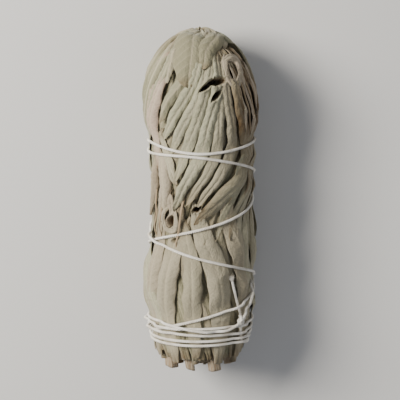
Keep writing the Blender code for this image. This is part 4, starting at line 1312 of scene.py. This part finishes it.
def stem(sprig, first):
    """A squarish stem: a rounded square profile with grooves, carried up along its sprig's lean.

    The profile's radius is one over that root of the sum of the cosine's and the sine's powers, where
    the power is its squareness. At each end the rings close in across the cut, which is a little
    slanted and has a few cracks.
    """
    start = STEM_STARTS[sprig]
    around = np.arange(STEM_COLUMNS) * math.tau / STEM_COLUMNS
    turned = around + STEM_TURNS[sprig]
    square = np.abs(np.cos(turned)) ** SQUARENESS + np.abs(np.sin(turned)) ** SQUARENESS
    square = square ** (-1 / SQUARENESS)
    radius = STEM_RADII[sprig]
    groove = 0.05 * np.cos(4 * turned) + 0.03 * np.sin(13 * around + sprig) + 0.02 * np.sin(29 * around)
    up = np.linspace(start, STEM_END, STEM_ROWS)
    s = np.concatenate([np.full(len(CUT_RINGS), start), up, np.full(len(CUT_RINGS), STEM_END)])
    size = np.concatenate([CUT_RINGS, np.ones(STEM_ROWS), CUT_RINGS[::-1]])
    s[: len(CUT_RINGS)] -= 0.12 * (np.array(CUT_RINGS) > 0.4) * (np.array(CUT_RINGS) < 0.95)
    if sprig < OUTER_SPRIGS:
        centre = place(STEM_PLACE, (sprig + 0.5) * SPRIG_ANGLE + lean(s), s)
    else:
        centre = place(0.0, 0.0, s)
    r = radius * size[:, None] * (square * 0.94 - groove * (size[:, None] > 0.9))
    knobs = 1 + 0.08 * bell((s - start - 5) / 0.9)[:, None]
    slant = CUT_SLANTS[sprig] * r * np.cos(around + 3 * sprig) * smooth_step(1 - (s - start) / 3)[:, None]
    cracks = 0.16 * bell(np.sin(2.5 * around + sprig) / 0.12) * smooth_step(2 * (size - 0.25))[:, None]
    slant = slant + cracks * (s < start + 0.1)[:, None] * (size < 0.95)[:, None]
    points = centre[:, None] + np.stack([r * knobs * np.cos(around), slant, r * knobs * np.sin(around)], -1)
    uv = side_by_side(around * radius, s[:, None])
    bark_share = np.ones(len(s))
    bark_share[: len(CUT_RINGS)] = np.array(CUT_RINGS) > 0.95
    tone = side_by_side(size[:, None], bark_share[:, None], 0 * r)
    faces = tube_faces(len(s), STEM_COLUMNS, first)
    return keep_above(points, LOWEST_LEAF), faces, uv, tone


for sprig in range(OUTER_SPRIGS + 1):
    points, faces, uv, tone = stem(sprig, 0)
    node = f"sprig_{sprig + 1}" if sprig < OUTER_SPRIGS else "sprig_middle"
    dressed("stem_of_" + node, points, faces, wood_paint, node, uv=uv, tone=tone)


# The leaf stalks that show between the leaves: thin, dry and tan, each grown from the leaf it carried.
# At the right of the crown they fan down as ribs, and at the left they hang among the leaf tips. Each:
# its sprig, radius, share of bark in its colour, and its points as x and distance along the outline.
STALKS = (
    (3, 0.36, 0.2, ((8.2, 95.5), (10.6, 90), (13.0, 83), (14.6, 76), (15.2, 70))),
    (3, 0.3, 0.35, ((8.8, 96), (11.6, 91), (14.2, 84), (15.8, 77), (16.1, 70))),
    (3, 0.34, 0.2, ((7.4, 96), (9.9, 90), (11.9, 83), (13.2, 77), (13.6, 71.5))),
    (3, 0.28, 0.5, ((9.5, 97), (12.6, 91.5), (15.2, 84.5), (16.4, 78), (16.5, 71))),
    (4, 0.34, 0.35, ((-5.8, 54), (-6.1, 49), (-6.6, 45.5), (-7.6, 41.5), (-8.8, 36))),
    (4, 0.3, 0.45, ((-14.4, 58), (-13.4, 52.5), (-13.2, 47.5), (-14.2, 42.5), (-15.2, 37))),
    (4, 0.26, 0.5, ((-12.8, 55), (-11.8, 49), (-12.4, 44.6), (-13.6, 38))),
)
STALK_LIFT, STALK_SINK = 0.5, 3.0
STALK_SIDES, STALK_RINGS = 12, 60


def stalk(radius, bark_share, points, first):
    """A leaf stalk: a smooth line through its points on the bunch, carried by an oval that tapers.

    It arches over the leaves: its lift is a sine raised to a small power, sinking in at both ends.
    """
    even, (x, along) = smooth_walk(points, STALK_RINGS)
    arch = np.sin(math.pi * even / even[-1]) ** 0.35
    lift = STALK_LIFT * arch - STALK_SINK * (1 - arch) + 0.12 * np.sin(even * 0.9 + radius * 50)
    centres = on_surface(x, along, lift)
    side, out = across_on_bunch(centres)
    thickness = radius * (1 - 0.35 * even / even[-1]) * (1 + 0.07 * np.sin(even * 1.7 + radius * 40))
    grid = tube_grid(centres, 1.15 * side, 0.85 * out, thickness, STALK_SIDES)
    around = np.arange(STALK_SIDES) * math.tau * radius / STALK_SIDES
    uv = side_by_side(around, even[:, None])
    tone = side_by_side(1.0, bark_share, 0 * uv[..., 0])
    return grid, tube_faces(STALK_RINGS, STALK_SIDES, first), uv, tone


for sprig in sorted({values[0] for values in STALKS}):
    own_stalks = [values[1:] for values in STALKS if values[0] == sprig]
    points, faces, uv, tone = gather([lambda first, a=values: stalk(*a, first) for values in own_stalks])
    node = f"sprig_{sprig}"
    dressed("stalks_of_" + node, points, faces, wood_paint, node, uv=uv, tone=tone)


# The middle sprig: its packed leaves fill the middle of the bunch, and its top ones fold outwards
# over the crown and close it, with small curled ones over them.
MIDDLE_LEAVES, MIDDLE_GRID = 5, (40, 29)
CROWN_LEAVES, CROWN_GRID = 11, (44, 19)
MIDDLE_ROWS, MIDDLE_COLUMNS = 60, 49
# Painted shade: how dark and brown the middle core is
MIDDLE_SHADE = 0.75


def middle_leaf(number, random):
    """A leaf of the middle sprig, folded outwards over the top of the crown."""
    angle = math.tau * (number + random.uniform(-0.1, 0.1)) / MIDDLE_LEAVES
    return {
        "line": ((111.0, angle), (105.0, angle), (99.5 + random.uniform(-0.6, 0.6), angle)),
        "half_width": random.uniform(2.6, 3.1),
        "end": 0.3,
        "belly": 1.2,
        "curl": 2.0,
        "tilt": 0.15,
        "lift_places": (0, 0.3, 0.7, 1),
        "lifts": (-0.8, 0.15 * (number % 3) - 0.2, 0.0, -0.4),
        "wave": 0.1,
        "waves": 4.0,
        "wave_start": random.uniform(0, 6),
    }


def middle_core(first):
    """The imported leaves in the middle: a ridged column that widens under the crown, closed at both ends."""
    up, around = np.linspace(8, 101, MIDDLE_ROWS), np.linspace(0, 1, MIDDLE_COLUMNS)
    s, share = np.meshgrid(up, around, indexing="ij")
    rise = np.clip((s - CROWN_START) / CROWN_HEIGHT, 0, 1)
    r = np.minimum(MIDDLE_SPACE + 0.6 * np.maximum(0, s - 94), RADIUS * np.sqrt(1 - rise**2) - 1.2)
    r = r + 0.2 * np.sin(math.tau * 11 * share)
    grids = [place(size * r, math.tau * share, s) for size in (1.0, 0.2)]
    return core_parts(np.stack(grids), share, s, MIDDLE_SHADE, first)


def crown_leaf(number, random):
    """A small leaf that curls round the top of the crown as it comes down over the middle."""
    angle = math.tau * (number + random.uniform(-0.3, 0.3)) / CROWN_LEAVES
    turn = random.uniform(0.5, 1.5)
    start, end = random.uniform(110.0, 111.8), random.uniform(98.5, 103.5)
    places = np.linspace(start, end, 5)
    angles = angle + turn * ((start - places) / (start - end)) ** 1.5
    leaf = folded_leaf(tuple(zip(places.tolist(), angles.tolist())), 1.0, 2.6, 0.0, random)
    leaf["half_width"] = random.uniform(1.1, 2.0)
    top = random.uniform(-0.3, 0.5)
    leaf["lifts"] = (top - 0.5, top, top + 0.1, top - 0.3, top - 0.9)
    return leaf


crown_rule = np.random.default_rng(SEED + 1)
parts = [middle_core]
for number in range(MIDDLE_LEAVES):
    leaf = finish_leaf(middle_leaf(number, crown_rule), finish_rule)
    parts.append(lambda first, leaf=leaf: leaf_blade(leaf, *MIDDLE_GRID, first))
for number in range(CROWN_LEAVES):
    leaf = finish_leaf(crown_leaf(number, crown_rule), crown_rule)
    leaf["age"] += crown_rule.uniform(0, 0.3)
    parts.append(lambda first, leaf=leaf: leaf_blade(leaf, *CROWN_GRID, first))
points, faces, uv, tone = gather(parts)
dressed("leaves_of_middle_sprig", points, faces, sage_paint, "sprig_middle", uv=uv, tone=tone)
